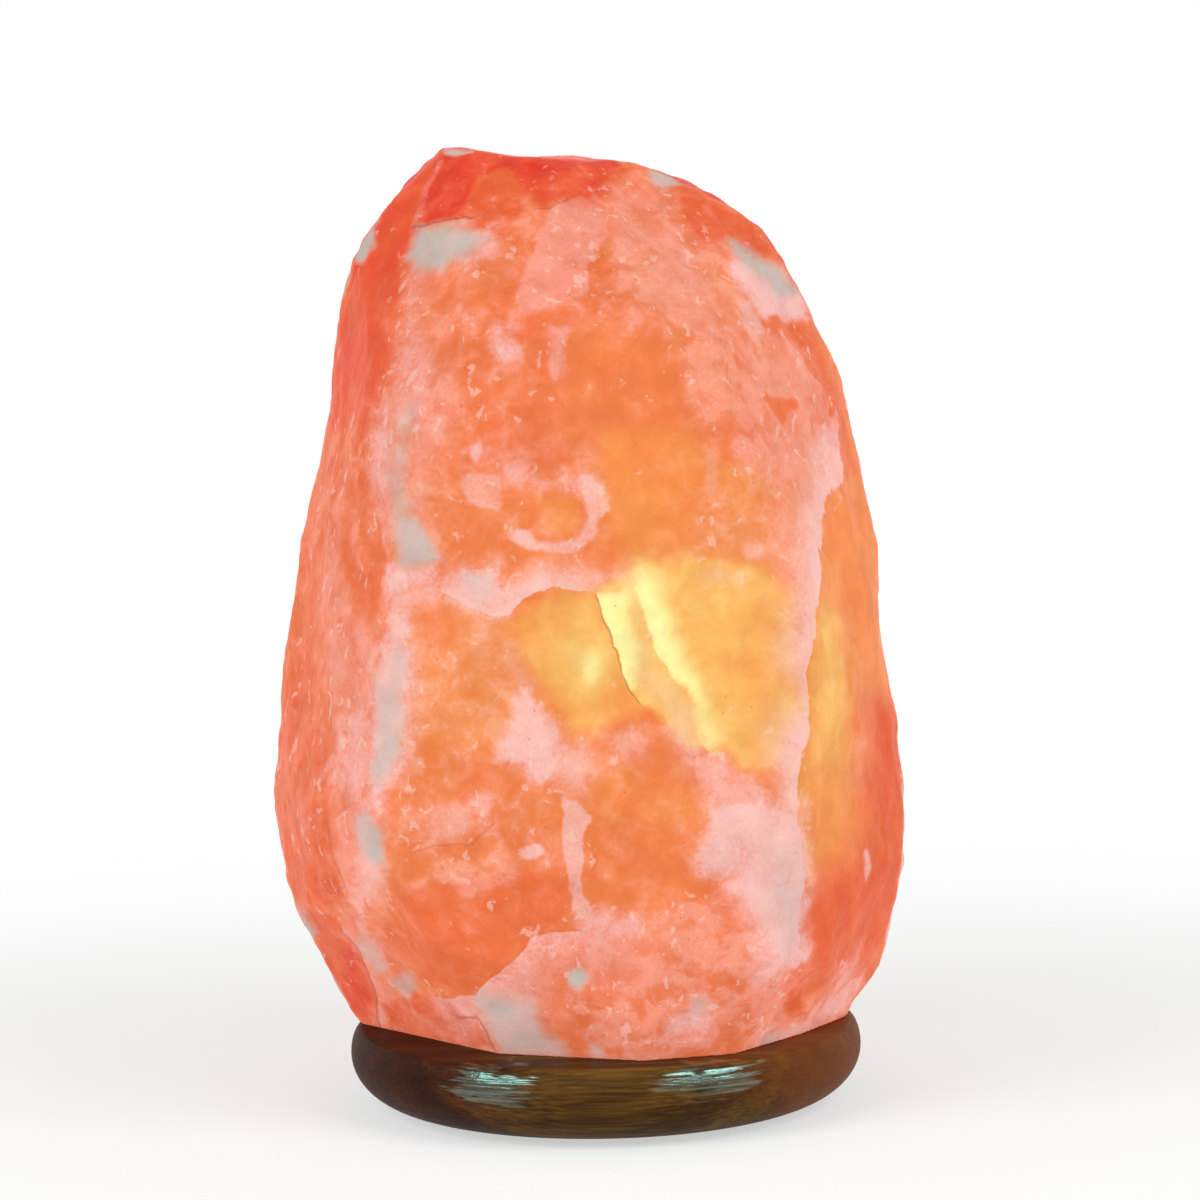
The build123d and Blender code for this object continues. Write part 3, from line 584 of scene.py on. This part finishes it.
def nearest_on(spots, start, end):
    """Each spot's distance to a straight piece of line, and how far to the left of it the spot is."""
    run = end - start
    away = spots - start
    share = np.clip(away @ run / (run @ run), 0, 1)
    reach = np.linalg.norm(away - share[:, None] * run, axis=1)
    return reach, (run[1] * away[:, 0] - run[0] * away[:, 1]) / np.linalg.norm(run)


def side_of(spots, line):
    """Each spot's distance to a line, and how far it is to the left of it as the line runs."""
    nearest, side = np.full(len(spots), np.inf), np.zeros(len(spots))
    corners = on_picture(line)
    for start, end in zip(corners, corners[1:]):
        reach, turn = nearest_on(spots, start, end)
        closer = reach < nearest
        nearest[closer], side[closer] = reach[closer], turn[closer]
    return nearest, side


def depth_inside(spots, outline):
    """How far inside an outline each spot is; below 0 outside."""
    corners = on_picture(outline)
    nearest, inside = np.full(len(spots), np.inf), np.zeros(len(spots), bool)
    for start, end in zip(corners, np.roll(corners, -1, 0)):
        nearest = np.minimum(nearest, nearest_on(spots, start, end)[0])
        if start[1] != end[1]:
            crossing = start[0] + (spots[:, 1] - start[1]) * (end[0] - start[0]) / (end[1] - start[1])
            inside ^= ((start[1] > spots[:, 1]) != (end[1] > spots[:, 1])) & (spots[:, 0] < crossing)
    return np.where(inside, nearest, -nearest)


def depth_in(spots, softness, line, half_width=None):
    """How deep each spot lies in an outline or a band, in widths of its soft edge, from -2 to 2."""
    inside = depth_inside(spots, line) if half_width is None else half_width - side_of(spots, line)[0]
    return np.clip(inside / softness, -2, 2)


def lay(spots, features):
    """The depth in the strongest feature at each spot, and its strength."""
    depth, strength, best = np.full(len(spots), -2.0), np.zeros(len(spots)), np.zeros(len(spots))
    for force, *shape in features.values():
        inside = depth_in(spots, *shape)
        value = force * rise(inside, -0.7, 0.7)
        better = (value > best) | ((best == 0) & (inside > depth))
        depth[better], strength[better], best[better] = inside[better], force, value[better]
    return depth, strength


def lay_fading(spots, features, spread, power):
    """For bands that fade to the left of a line: how far inside it each spot is, and how strong it is."""
    inside, strength = np.full(len(spots), -RIDGE_REACH), np.zeros(len(spots))
    for force, fade, line in features.values():
        reach, side = side_of(spots, line)
        value = force * np.exp(-(reach / (fade * spread)) ** power)
        better = (value > 0.02) & (side > -1.5) & (value > strength)
        inside[better], strength[better] = side[better], value[better]
    return np.clip(inside, -RIDGE_REACH, RIDGE_REACH), strength


def lay_cracks(spots, lines):
    """How far each spot is to one side of the nearest crack, in half widths, and how strong that is there."""
    side, nearest = np.full(len(spots), FAR), np.full(len(spots), FAR)
    strength = np.zeros(len(spots))
    for force, half_width, line in lines.values():
        reach, turn = side_of(spots, line)
        closer = reach < nearest
        nearest[closer], side[closer] = reach[closer], turn[closer] / half_width
        strength[closer] = force * (reach < CRACK_REACH)[closer]
    return np.clip(side, -FAR, FAR), strength


def uncovered(spots, windows):
    """1 where no outline of the list lies, and less inside them."""
    left = np.ones(len(spots))
    for strength, *shape in windows.values():
        left *= 1 - strength * rise(depth_in(spots, *shape), -0.5, 0.5)
    return left


def marks_all_round(points, edge_away):
    """The salt's warmth, frost, haze and dusty spots on every side, without what the photograph shows."""
    high = points[:, 2]
    # Painted glow: brightest round the bulb, dimmer away from it and towards the top and the bottom.
    from_bulb = np.linalg.norm((points - BULB_MIDDLE) * np.array([1, 1, 0.8]), axis=1)
    glow = 0.58 - 0.30 * rise(from_bulb, 44, 100)
    glow += 0.10 * noise(points, 34, 31) + 0.05 * noise(points, 12, 32)
    glow -= 0.16 * rise(high, 196, 236) + 0.08 * rise(-high, -60, -24) + 0.16 * rise(high, 222, 236)
    frost = 0.34 + 0.34 * rough_noise(points, 30, 51) + 0.22 * np.exp(-(edge_away / 4) ** 2)
    reach = 2.5 + 5.0 * rise(noise(points, 22, 40), -0.2, 0.8)
    haze = 0.80 * np.exp(-(edge_away / reach) ** 1.6) * rise(rough_noise(points, 34, 41), -0.10, 0.30)
    haze = np.maximum(haze, 0.65 * rise(rough_noise(points, 26, 43), 0.10, 0.55))
    dusty = 0.85 * rise(rough_noise(points * np.array([1, 1, 0.6]), 22, 61), 0.38, 0.68)
    on_edges = 0.8 * rise(noise(points, 15, 62), 0.50, 0.90) * np.exp(-(edge_away / 4.0) ** 2)
    return glow, frost, haze, np.maximum(dusty, on_edges)


def crystal_marks(points, normals, edge_away):
    """What the salt is like at each point of the crystal: its warmth, milk, frost, chalk and cracks."""
    toward = np.array(EYE) / MM - points
    toward /= np.linalg.norm(toward, axis=1)[:, None]
    front = rise((toward * normals).sum(1), 0.0, FULL_FRONT)
    spots = seen_from_camera(points)
    for axis in (0, 1):
        spots[:, axis] += 1.1 * noise(points, 13, 21 + axis) + 0.6 * noise(points, 5, 23 + axis)
        spots[:, axis] += 0.45 * noise(points, 2.4, 27 + axis)

    glow, frost, haze, dusty = marks_all_round(points, edge_away)
    glow += front * (FRONT_GLOW - glow) * 0.9
    for warmth, *shape in GLOW.values():
        glow += (warmth - glow) * front * rise(depth_in(spots, *shape), -0.6, 0.6)
    for warmth, place, *half_size in WARM_SPOTS.values():
        away = np.linalg.norm((spots - on_picture(place)) / np.array(half_size), axis=1)
        glow += np.maximum(warmth - glow, 0) * front * np.exp(-away ** 2)
    frost += front * (FRONT_FROST - frost)
    frost += front * (0.09 * rough_noise(points, 20, 55) + 0.05 * noise(points, 8, 58))
    for strength, *shape in FROST.values():
        frost += (strength - frost) * front * rise(depth_in(spots, *shape), -0.6, 0.6)

    opened = front * uncovered(spots, CLEAR)
    marks = {
        "glow": np.clip(glow, 0, 1),
        "frost": np.clip(frost, 0, 1),
        "haze": haze * (1 - front),
        "dusty": dusty * (1 - front),
    }
    layers = {
        "milk": (lay(spots, MILK), opened),
        "ridge": (lay_fading(spots, RIDGES, 1 + 0.35 * noise(points, 11, 25), 1.4), opened),
        "hot": (lay_fading(spots, HOT, 1 + 0.2 * noise(points, 7, 26), 3), front * uncovered(spots, DIM)),
        "chalk": (lay(spots, CHALK), front),
        "crack": (lay_cracks(spots, CRACKS), front),
    }
    for name, ((depth, strength), share) in layers.items():
        marks[name], marks[name + "_strength"] = depth, strength * share
    return marks


def crystal_relief(points, edge_away, marks):
    """How far each point moves out along its normal, and how high it stands among its neighbours."""
    tall = points * np.array([1.0, 1.0, 0.7])
    broad = 2.6 * (flakes(tall, 30, 71) ** 2 - BOWL_MEAN)
    small = 1.1 * (flakes(tall + 2.0 * noise(points, 9, 77)[:, None], 12, 75) ** 2 - BOWL_MEAN)
    crumbs = rough_noise(points, 5, 81, 2)
    worn = -0.5 * np.exp(-(edge_away / 2.0) ** 2)
    ripple = 0.5 * noise(points, 16, 83)
    relief = broad + worn + ripple
    relief += small * (0.5 + 0.5 * marks["frost"]) + 0.60 * crumbs * (0.3 + marks["frost"])
    from_axis = np.hypot(points[:, 0], points[:, 1])
    relief[(from_axis < CHAMBER_REACH) & (points[:, 2] < CHAMBER_TOP)] = 0
    raised = np.clip(0.5 + 0.55 * small + 0.30 * crumbs, 0, 1)
    return relief * rise(points[:, 2], BASE_TOP + 0.3, BASE_TOP + 5), raised


def read(values, field):
    """A mesh's vertex values as rows of three numbers."""
    flat = np.empty(len(values) * 3, np.float32)
    values.foreach_get(field, flat)
    return flat.reshape(-1, 3).astype(float)


def add_crystal():
    piece = even_copy(NODES["salt_crystal"], "rock_salt_crystal")
    mesh = piece.data
    points, normals = read(mesh.vertices, "co") / MM, read(mesh.vertex_normals, "vector")
    wavy = [2.2 * noise(points, 14, 16 + axis) + noise(points, 5, 11 + axis) for axis in range(3)]
    edge_away = edge_distance(NODES["salt_crystal"], points + np.stack(wavy, 1))
    marks = crystal_marks(points, normals, edge_away)
    relief, marks["raised"] = crystal_relief(points, edge_away, marks)
    points += normals * relief[:, None]
    points[:, 2] = np.maximum(points[:, 2], BASE_TOP)
    mesh.vertices.foreach_set("co", (points * MM).astype(np.float32).ravel())
    for name, values in marks.items():
        layer = mesh.attributes.new(name, "FLOAT", "POINT")
        layer.data.foreach_set("value", values.astype(np.float32))
    mesh.shade_smooth()
    mesh.update()
    mesh.materials.append(salt_material())
    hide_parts("salt_crystal")
    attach(piece, "root")


# --- the crystal: material ---
GLOW_SHARE = 0.685  # part of the salt's colour that is painted glow, standing in for the bulb's light through the salt
LIT_SHARE = 0.27  # part that is lit from outside
CLEAR_SALT = (  # warmth, screen colour
    (0.00, (218, 50, 34)),
    (0.12, (232, 75, 44)),
    (0.26, (233, 96, 51)),
    (0.40, (239, 121, 71)),
    (0.52, (243, 135, 71)),
    (0.64, (246, 154, 80)),
    (0.75, (250, 184, 98)),
    (0.88, (254, 224, 140)),
    (1.00, (254, 248, 166)),
)
MILKY_SALT = (
    (0.10, (240, 138, 130)),
    (0.35, (246, 186, 183)),
    (0.55, (250, 192, 179)),
    (0.75, (252, 196, 158)),
    (0.92, (254, 212, 150)),
)
FROSTED_SALT = (
    (0.08, (238, 98, 74)),
    (0.26, (240, 128, 100)),
    (0.42, (247, 152, 130)),
    (0.60, (249, 166, 124)),
    (0.80, (252, 196, 130)),
)
CHALKY_SALT = ((0.40, (192, 188, 180)), (0.60, (216, 186, 180)))
CRUMB = colour(255, 206, 180)
SPECK = colour(255, 214, 186)
DARK_LINE = colour(150, 74, 60)


def salt_material():
    """Glowing rock salt: clear where deep, frosted in flakes, milky along its ridges, chalky in spots."""
    s = Shader("salt")
    glow, frost, raised = s.attribute("glow"), s.attribute("frost"), s.attribute("raised")
    broad = s.centred(s.noise(48, 4, 0.4))
    blots = s.centred(s.noise(175, 5, 0.5))
    fine = s.centred(s.noise(800, 3))
    ragged = s.add(s.times(blots, 1.6), s.times(fine, 0.5))

    def torn(mark, tear, low, high):
        """How far a mark covers the salt: it sets in from low to high, and the noise tears its edge."""
        return s.step(s.add(s.attribute(mark), s.times(ragged, tear)), low, high)

    def laid(mark, tear, low, high):
        """The same for a mark with a strength of its own."""
        return s.times(torn(mark, tear, low, high), s.attribute(mark + "_strength"))

    # clear salt, from deep red to pale yellow as its painted glow grows warmer
    warmth = s.add(glow, s.times(broad, 0.16), s.times(blots, 0.14))
    hot, hottest = laid("hot", 0.8, -0.3, 0.5), s.add(s.times(blots, 0.2), 1.0)
    warmth = s.node("Mix", {0: hot, 2: warmth, 3: hottest}, data_type="FLOAT")
    clear, frosty, milky = (s.ramp(warmth, stops) for stops in (CLEAR_SALT, FROSTED_SALT, MILKY_SALT))

    # frost, with crumbs in it
    level = s.add(frost, s.times(ragged, 0.75), s.times(s.centred(raised), 0.25))
    wash = s.add(s.times(s.step(level, 0.22, 0.80), 0.62), s.times(s.step(level, 0.56, 0.62), 0.22))
    crumbs = s.math("ABSOLUTE", s.centred(s.noise(330, 4, 1.2)))
    crumbs = s.times(s.step(crumbs, 0.026, 0.006), s.step(level, 0.46, 0.70), 0.45)
    frosted = s.mix(crumbs, s.mix(wash, clear, frosty), s.mix(0.4, frosty, CRUMB))

    # milk in patches, along crisp ridges and, away from the front, in a haze
    milk = s.most(laid("milk", 0.6, -0.9, 0.7), laid("ridge", 0.8, -0.25, 0.35))
    milk = s.most(milk, s.times(torn("haze", 0.30, 0.12, 0.85), 0.9))
    grain = s.centred(s.noise(1300, 4, 0.6))
    milk = s.add(milk, s.times(milk, s.add(ragged, broad, s.times(grain, 2.0)), 0.55))
    shade = s.mix(s.step(milk, 0.0, 0.60), frosted, frosty)
    shade = s.mix(s.step(milk, 0.25, 1.0), shade, milky)

    # pale specks, more of them in frost and milk
    some = s.step(s.add(s.noise(110, 3), s.times(frost, 0.30), s.times(milk, 0.16)), 0.60, 0.72)
    specks = s.times(s.step(s.noise((360, 360, 288), 4, 0.6), 0.60, 0.65), some, 0.5)
    shade = s.mix(specks, shade, s.mix(0.5, milky, SPECK))

    chalk = s.most(laid("chalk", 0.5, -0.8, 0.7), torn("dusty", 0.3, 0.15, 0.95))
    shade = s.mix(s.times(chalk, 0.95), shade, s.ramp(s.noise(90, 3), CHALKY_SALT))

    # hair cracks, and pits that come in swarms
    crack = s.math("ABSOLUTE", s.add(s.attribute("crack"), s.times(fine, 1.2)))
    crack = s.times(s.step(crack, 1.3, 0.7), s.attribute("crack_strength"))
    cell = s.node("TexVoronoi", {"Vector": s.place, "Scale": 300.0}, "Distance")
    pits = s.times(s.step(cell, 0.11, 0.06), s.step(s.noise(60, 1), 0.58, 0.62), 0.35)
    shade = s.mix(s.most(pits, crack), shade, DARK_LINE)

    # Painted shade and painted light: the salt is darker in hollows and lighter on raised points.
    depth = s.step(s.add(raised, s.times(ragged, 0.5)), 0.1, 0.9, 0.93, 1.05)
    shade = s.mix(1.0, shade, depth, "MULTIPLY")
    unlit = s.mix(1.0, shade, (LIT_SHARE, LIT_SHARE, LIT_SHARE, 1.0), "MULTIPLY")
    # Painted glow: most of the salt's colour is sent out as its own light, standing in for the bulb's light
    # through the salt, and the rest is lit from outside.
    s.set(Base_Color=unlit, Emission_Color=shade, Emission_Strength=GLOW_SHARE)
    s.set(Roughness=s.step(s.most(wash, chalk), 0.0, 1.0, 0.42, 0.75), Specular_IOR_Level=0.10)
    s.bump(s.add(s.times(blots, 1.2), s.times(fine, 0.3), s.times(wash, 0.25)), 0.8, 0.6)
    return s.material


# --- the foot ---
# Where the varnish is still thick and mirrors the windows: middle along X and Z, half width, half height.
VARNISH_PATCHES = ((-0.0275, 0.0160, 0.0090, 0.0045), (0.0250, 0.0168, 0.0115, 0.0038))
OLIVE_WOOD = ((0.32, (34, 19, 5)), (0.46, (64, 38, 10)), (0.56, (88, 58, 18)), (0.70, (118, 82, 32)))
RED_WOOD = ((0.32, (36, 12, 5)), (0.50, (58, 23, 9)), (0.70, (92, 44, 16)))


def wood_material():
    """Dark stained hardwood under a clear varnish, with its grain along X."""
    s = Shader("stained_wood")
    streaks = s.noise((9.0, 120.0, 150.0), 5, 0.4)
    fibres = s.noise((60.0, 900.0, 1500.0), 3)
    figure = s.centred(s.noise((5.0, 30.0, 40.0), 3, 0.8))
    value = s.add(s.times(streaks, 0.6), s.times(fibres, 0.4))
    across, up = (s.node("SeparateXYZ", {0: s.place}, axis) for axis in "XZ")

    # redder towards both ends of the front; painted shade makes the left end darker, and painted light makes
    # the right end lighter and more orange
    left = s.step(s.add(across, s.times(figure, 0.04)), -0.052, -0.012, 1.0, 0.0)
    right = s.step(s.add(across, s.times(figure, 0.05)), 0.025, 0.060)
    shade = s.mix(s.most(left, s.times(right, 0.6)), s.ramp(value, OLIVE_WOOD), s.ramp(value, RED_WOOD))
    shade = s.mix(s.times(right, 0.35), shade, colour(150, 78, 30))

    def squared(place, middle, half):
        return s.math("POWER", s.math("ABSOLUTE", s.times(s.add(place, -middle), 1 / half)), 2.0)

    # thick varnish is smooth, and worn into streaks at its edge
    away = [
        s.add(squared(across, x, half_x), squared(up, z, half_z))
        for x, z, half_x, half_z in VARNISH_PATCHES]
    worn = s.noise((70.0, 70.0, 900.0), 4, 0.5)
    thick = s.add(s.math("MINIMUM", *away), s.times(s.centred(worn), 7.0))
    thick = s.step(thick, 1.3, 0.3)
    lines = s.step(s.noise((40.0, 40.0, 2400.0), 4, 0.3), 0.44, 0.56, 0.40, 1.0)
    s.set(Base_Color=shade, Roughness=s.step(thick, 0.0, 1.0, 0.55, 0.09))
    s.set(Specular_IOR_Level=s.step(s.times(thick, lines), 0.0, 1.0, 0.05, 1.0))
    s.set(Specular_Tint=(0.50, 1.0, 0.92, 1.0), IOR=1.7)
    s.bump(s.add(s.times(worn, 0.9), s.times(fibres, 0.4)), 0.4, 0.6)
    return s.material


# --- plain parts of the foot and the lampholder ---

def darkened(base, share):
    return tuple(c * share for c in base[:3]) + (1.0,)


def moulded(name, base, roughness, spread=0.06, grain=1600):
    """Moulded plastic, rubber or fired clay: a fine grain, and cloudy changes of shade."""
    s = Shader(name)
    cloud, fine = s.noise(90, 3), s.noise(grain, 2)
    s.set(Base_Color=s.mix(s.step(cloud, 0.3, 0.7), base, darkened(base, 1 - 3 * spread)))
    s.set(Roughness=s.step(fine, 0.2, 0.8, roughness - 0.06, roughness + 0.08))
    s.bump(fine, 0.04, 0.35)
    return s.material


def metal(name, base, roughness, stretch=(1, 1, 1), tarnish=None, amount=0.35):
    """Bare metal with rolling or drawing marks and a little tarnish."""
    s = Shader(name)
    marks = s.noise(tuple(900 * k for k in stretch), 4)
    cloud = s.step(s.noise(140, 4), 0.42, 0.72)
    s.set(Base_Color=s.mix(s.times(cloud, amount), base, tarnish or darkened(base, 0.55)), Metallic=1.0)
    s.set(Roughness=s.step(marks, 0.25, 0.75, roughness - 0.08, roughness + 0.12))
    s.bump(marks, 0.02, 0.4)
    return s.material


def felt_material():
    s = Shader("felt")
    hairs, tufts = s.noise(2600, 4, 2.0), s.noise(500, 3)
    greys = ((0.30, (18, 18, 19)), (0.55, (34, 34, 35)), (0.75, (62, 61, 60)))
    s.set(Base_Color=s.ramp(s.add(s.times(hairs, 0.7), s.times(tufts, 0.3)), greys))
    s.set(Roughness=0.95, Sheen_Weight=0.5, Sheen_Roughness=0.5, Specular_IOR_Level=0.2)
    s.bump(hairs, 0.25, 0.8)
    return s.material


def glass(name, tint, roughness):
    s = Shader(name)
    smoke = s.step(s.noise(120, 2), 0.3, 0.7)
    s.set(Base_Color=s.mix(smoke, tint, colour(255, 244, 226)))
    s.set(Roughness=roughness, Transmission_Weight=1.0, IOR=1.46)
    return s.material


def filament_material():
    s = Shader("tungsten_lit")
    s.set(Base_Color=colour(120, 90, 60), Roughness=0.6, Metallic=0.6)
    s.set(Emission_Color=s.ramp(s.noise(900, 2), ((0.3, (255, 170, 70)), (0.7, (255, 226, 160)))))
    s.set(Emission_Strength=8.0)
    return s.material


def dress_parts():
    zinc = metal("zinc_steel", colour(196, 194, 184), 0.34, tarnish=colour(150, 140, 112))
    brass = metal("socket_brass", colour(214, 178, 104), 0.30, (1, 1, 6), colour(140, 104, 56))
    solder = metal("solder", colour(176, 176, 170), 0.48, tarnish=colour(120, 118, 110), amount=0.6)
    spring = metal("spring_wire", colour(186, 188, 190), 0.26, (6, 1, 1))
    nickel = metal("nickel_wire", colour(188, 182, 172), 0.36)
    finishes = {
        "wood_base": wood_material(),
        "felt_pad": felt_material(),
        "crystal_screws": zinc,
        "crystal_plugs": moulded("nylon", colour(214, 212, 204), 0.45),
        "holder_cap": moulded("holder_cream", colour(226, 221, 206), 0.42),
        "holder_shell": moulded("holder_cream_shell", colour(224, 219, 204), 0.40),
        "terminal_block": moulded("block_ceramic", colour(222, 216, 200), 0.62, 0.05, 2200),
        "cord_bush": moulded("bush_rubber", colour(32, 31, 31), 0.68),
        "cord_grip_bar": moulded("grip_plastic", colour(212, 208, 196), 0.48),
        "cord_grip_screws": zinc,
        "screw_shell": brass,
        "centre_contact": brass,
        "side_contact": brass,
        "terminal_screws": metal("brass_screw", colour(204, 168, 98), 0.34, tarnish=colour(120, 92, 52)),
        "clip_left": spring,
        "clip_right": spring,
        "cap_contact": solder,
        "cap_insulator": moulded("black_glass", colour(20, 18, 24), 0.18, 0.1),
        "bulb_cap": metal("cap_metal", colour(206, 202, 192), 0.30, (1, 1, 5), colour(150, 144, 130)),
        "bulb_glass": glass("bulb_glass", colour(255, 250, 240), 0.02),
        "bulb_stem": glass("stem_glass", colour(244, 250, 244), 0.06),
        "lead_wires": nickel,
        "filament_supports": nickel,
        "filament": filament_material(),
    }
    for node, material in finishes.items():
        dress(node, material)


# --- floor and light ---
WHITE = (1, 1, 1, 1)
WORLD_LIGHT = 0.42
WORLD_TINT = (1.0, 0.98, 0.98, 1)
FLOOR_SIDE = 12.0
FLOOR_LEVEL = -0.1 * MM  # below the felt's own face, so that the two never share a plane
SHADOW_REACH = (0.10, 0.45)  # from the lamp's axis: where the shadow is at its strongest, and gone
SHADOW_FADED = 0.55  # part of the shadow that plain white takes away at its strongest
WINDOWS = {  # azimuth from the front to the right, elevation, width, watts
    "window_left": (-46, 31, 0.90, 16),
    "window_right": (38, 33, 0.48, 8),
    "window_far_right": (58, 33, 0.40, 7),
}
WINDOW_TINT = (0.90, 1.0, 0.96)
WINDOW_AWAY = 1.7
WINDOW_HEIGHT = 0.85
LAMP_MIDDLE = Vector((0, 0, 0.08))  # what the windows face


def add_floor():
    """A pale floor that takes the lamp's shadow, is plain white away from it, and is clear from below."""
    s = Shader("pale_floor")
    s.set(Base_Color=colour(246, 246, 246), Roughness=0.9, Specular_IOR_Level=0.1)
    away = s.node("VectorMath", {0: s.place}, "Value", operation="LENGTH")
    white = s.node("Emission", {"Color": WHITE, "Strength": 1.0})
    share = s.times(s.step(away, *SHADOW_REACH, SHADOW_FADED, 1.0), s.seen())
    above = s.node("MixShader", {0: share, 1: s.surface.outputs[0], 2: white})
    below = s.node("NewGeometry", {}, "Backfacing")
    clear = s.node("BsdfTransparent", {})
    s.put(s.out, s.node("MixShader", {0: below, 1: above, 2: clear}))
    mesh = bpy.data.meshes.new("floor")
    half = FLOOR_SIDE / 2
    corners = [(x * half, y * half, FLOOR_LEVEL) for x, y in ((-1, -1), (1, -1), (1, 1), (-1, 1))]
    mesh.from_pydata(corners, [], [(0, 1, 2, 3)])
    mesh.materials.append(s.material)
    new_object("floor", mesh)


def add_window(name, azimuth, elevation, width, watts):
    """A soft rectangular light that faces the lamp. Angles are in degrees."""
    a, e = math.radians(azimuth), math.radians(elevation)
    place = Vector((math.sin(a) * math.cos(e), -math.cos(a) * math.cos(e), math.sin(e))) * WINDOW_AWAY
    data = bpy.data.lights.new(name, "AREA")
    data.shape = "RECTANGLE"
    data.size = width
    data.size_y = WINDOW_HEIGHT
    data.energy = watts
    data.color = WINDOW_TINT
    light = new_object(name, data)
    light.location = place + LAMP_MIDDLE
    light.rotation_mode = "QUATERNION"
    light.rotation_quaternion = (-place).to_track_quat("-Z", "Y")


def add_world():
    """White wherever the background shows, and a dimmer light on the lamp."""
    world = bpy.data.worlds.new("studio")
    bpy.context.scene.world = world
    w = Nodes(world, "ShaderNodeOutputWorld")
    lit = w.node("Background", {"Color": WORLD_TINT, "Strength": WORLD_LIGHT})
    white = w.node("Background", {"Color": WHITE, "Strength": 1.0})
    w.put(w.out, w.node("MixShader", {0: w.seen(), 1: lit, 2: white}))


add_camera()
bpy.context.scene.view_settings.view_transform = "Standard"
add_crystal()
dress_parts()
add_floor()
add_world()
for window, settings in WINDOWS.items():
    add_window(window, *settings)
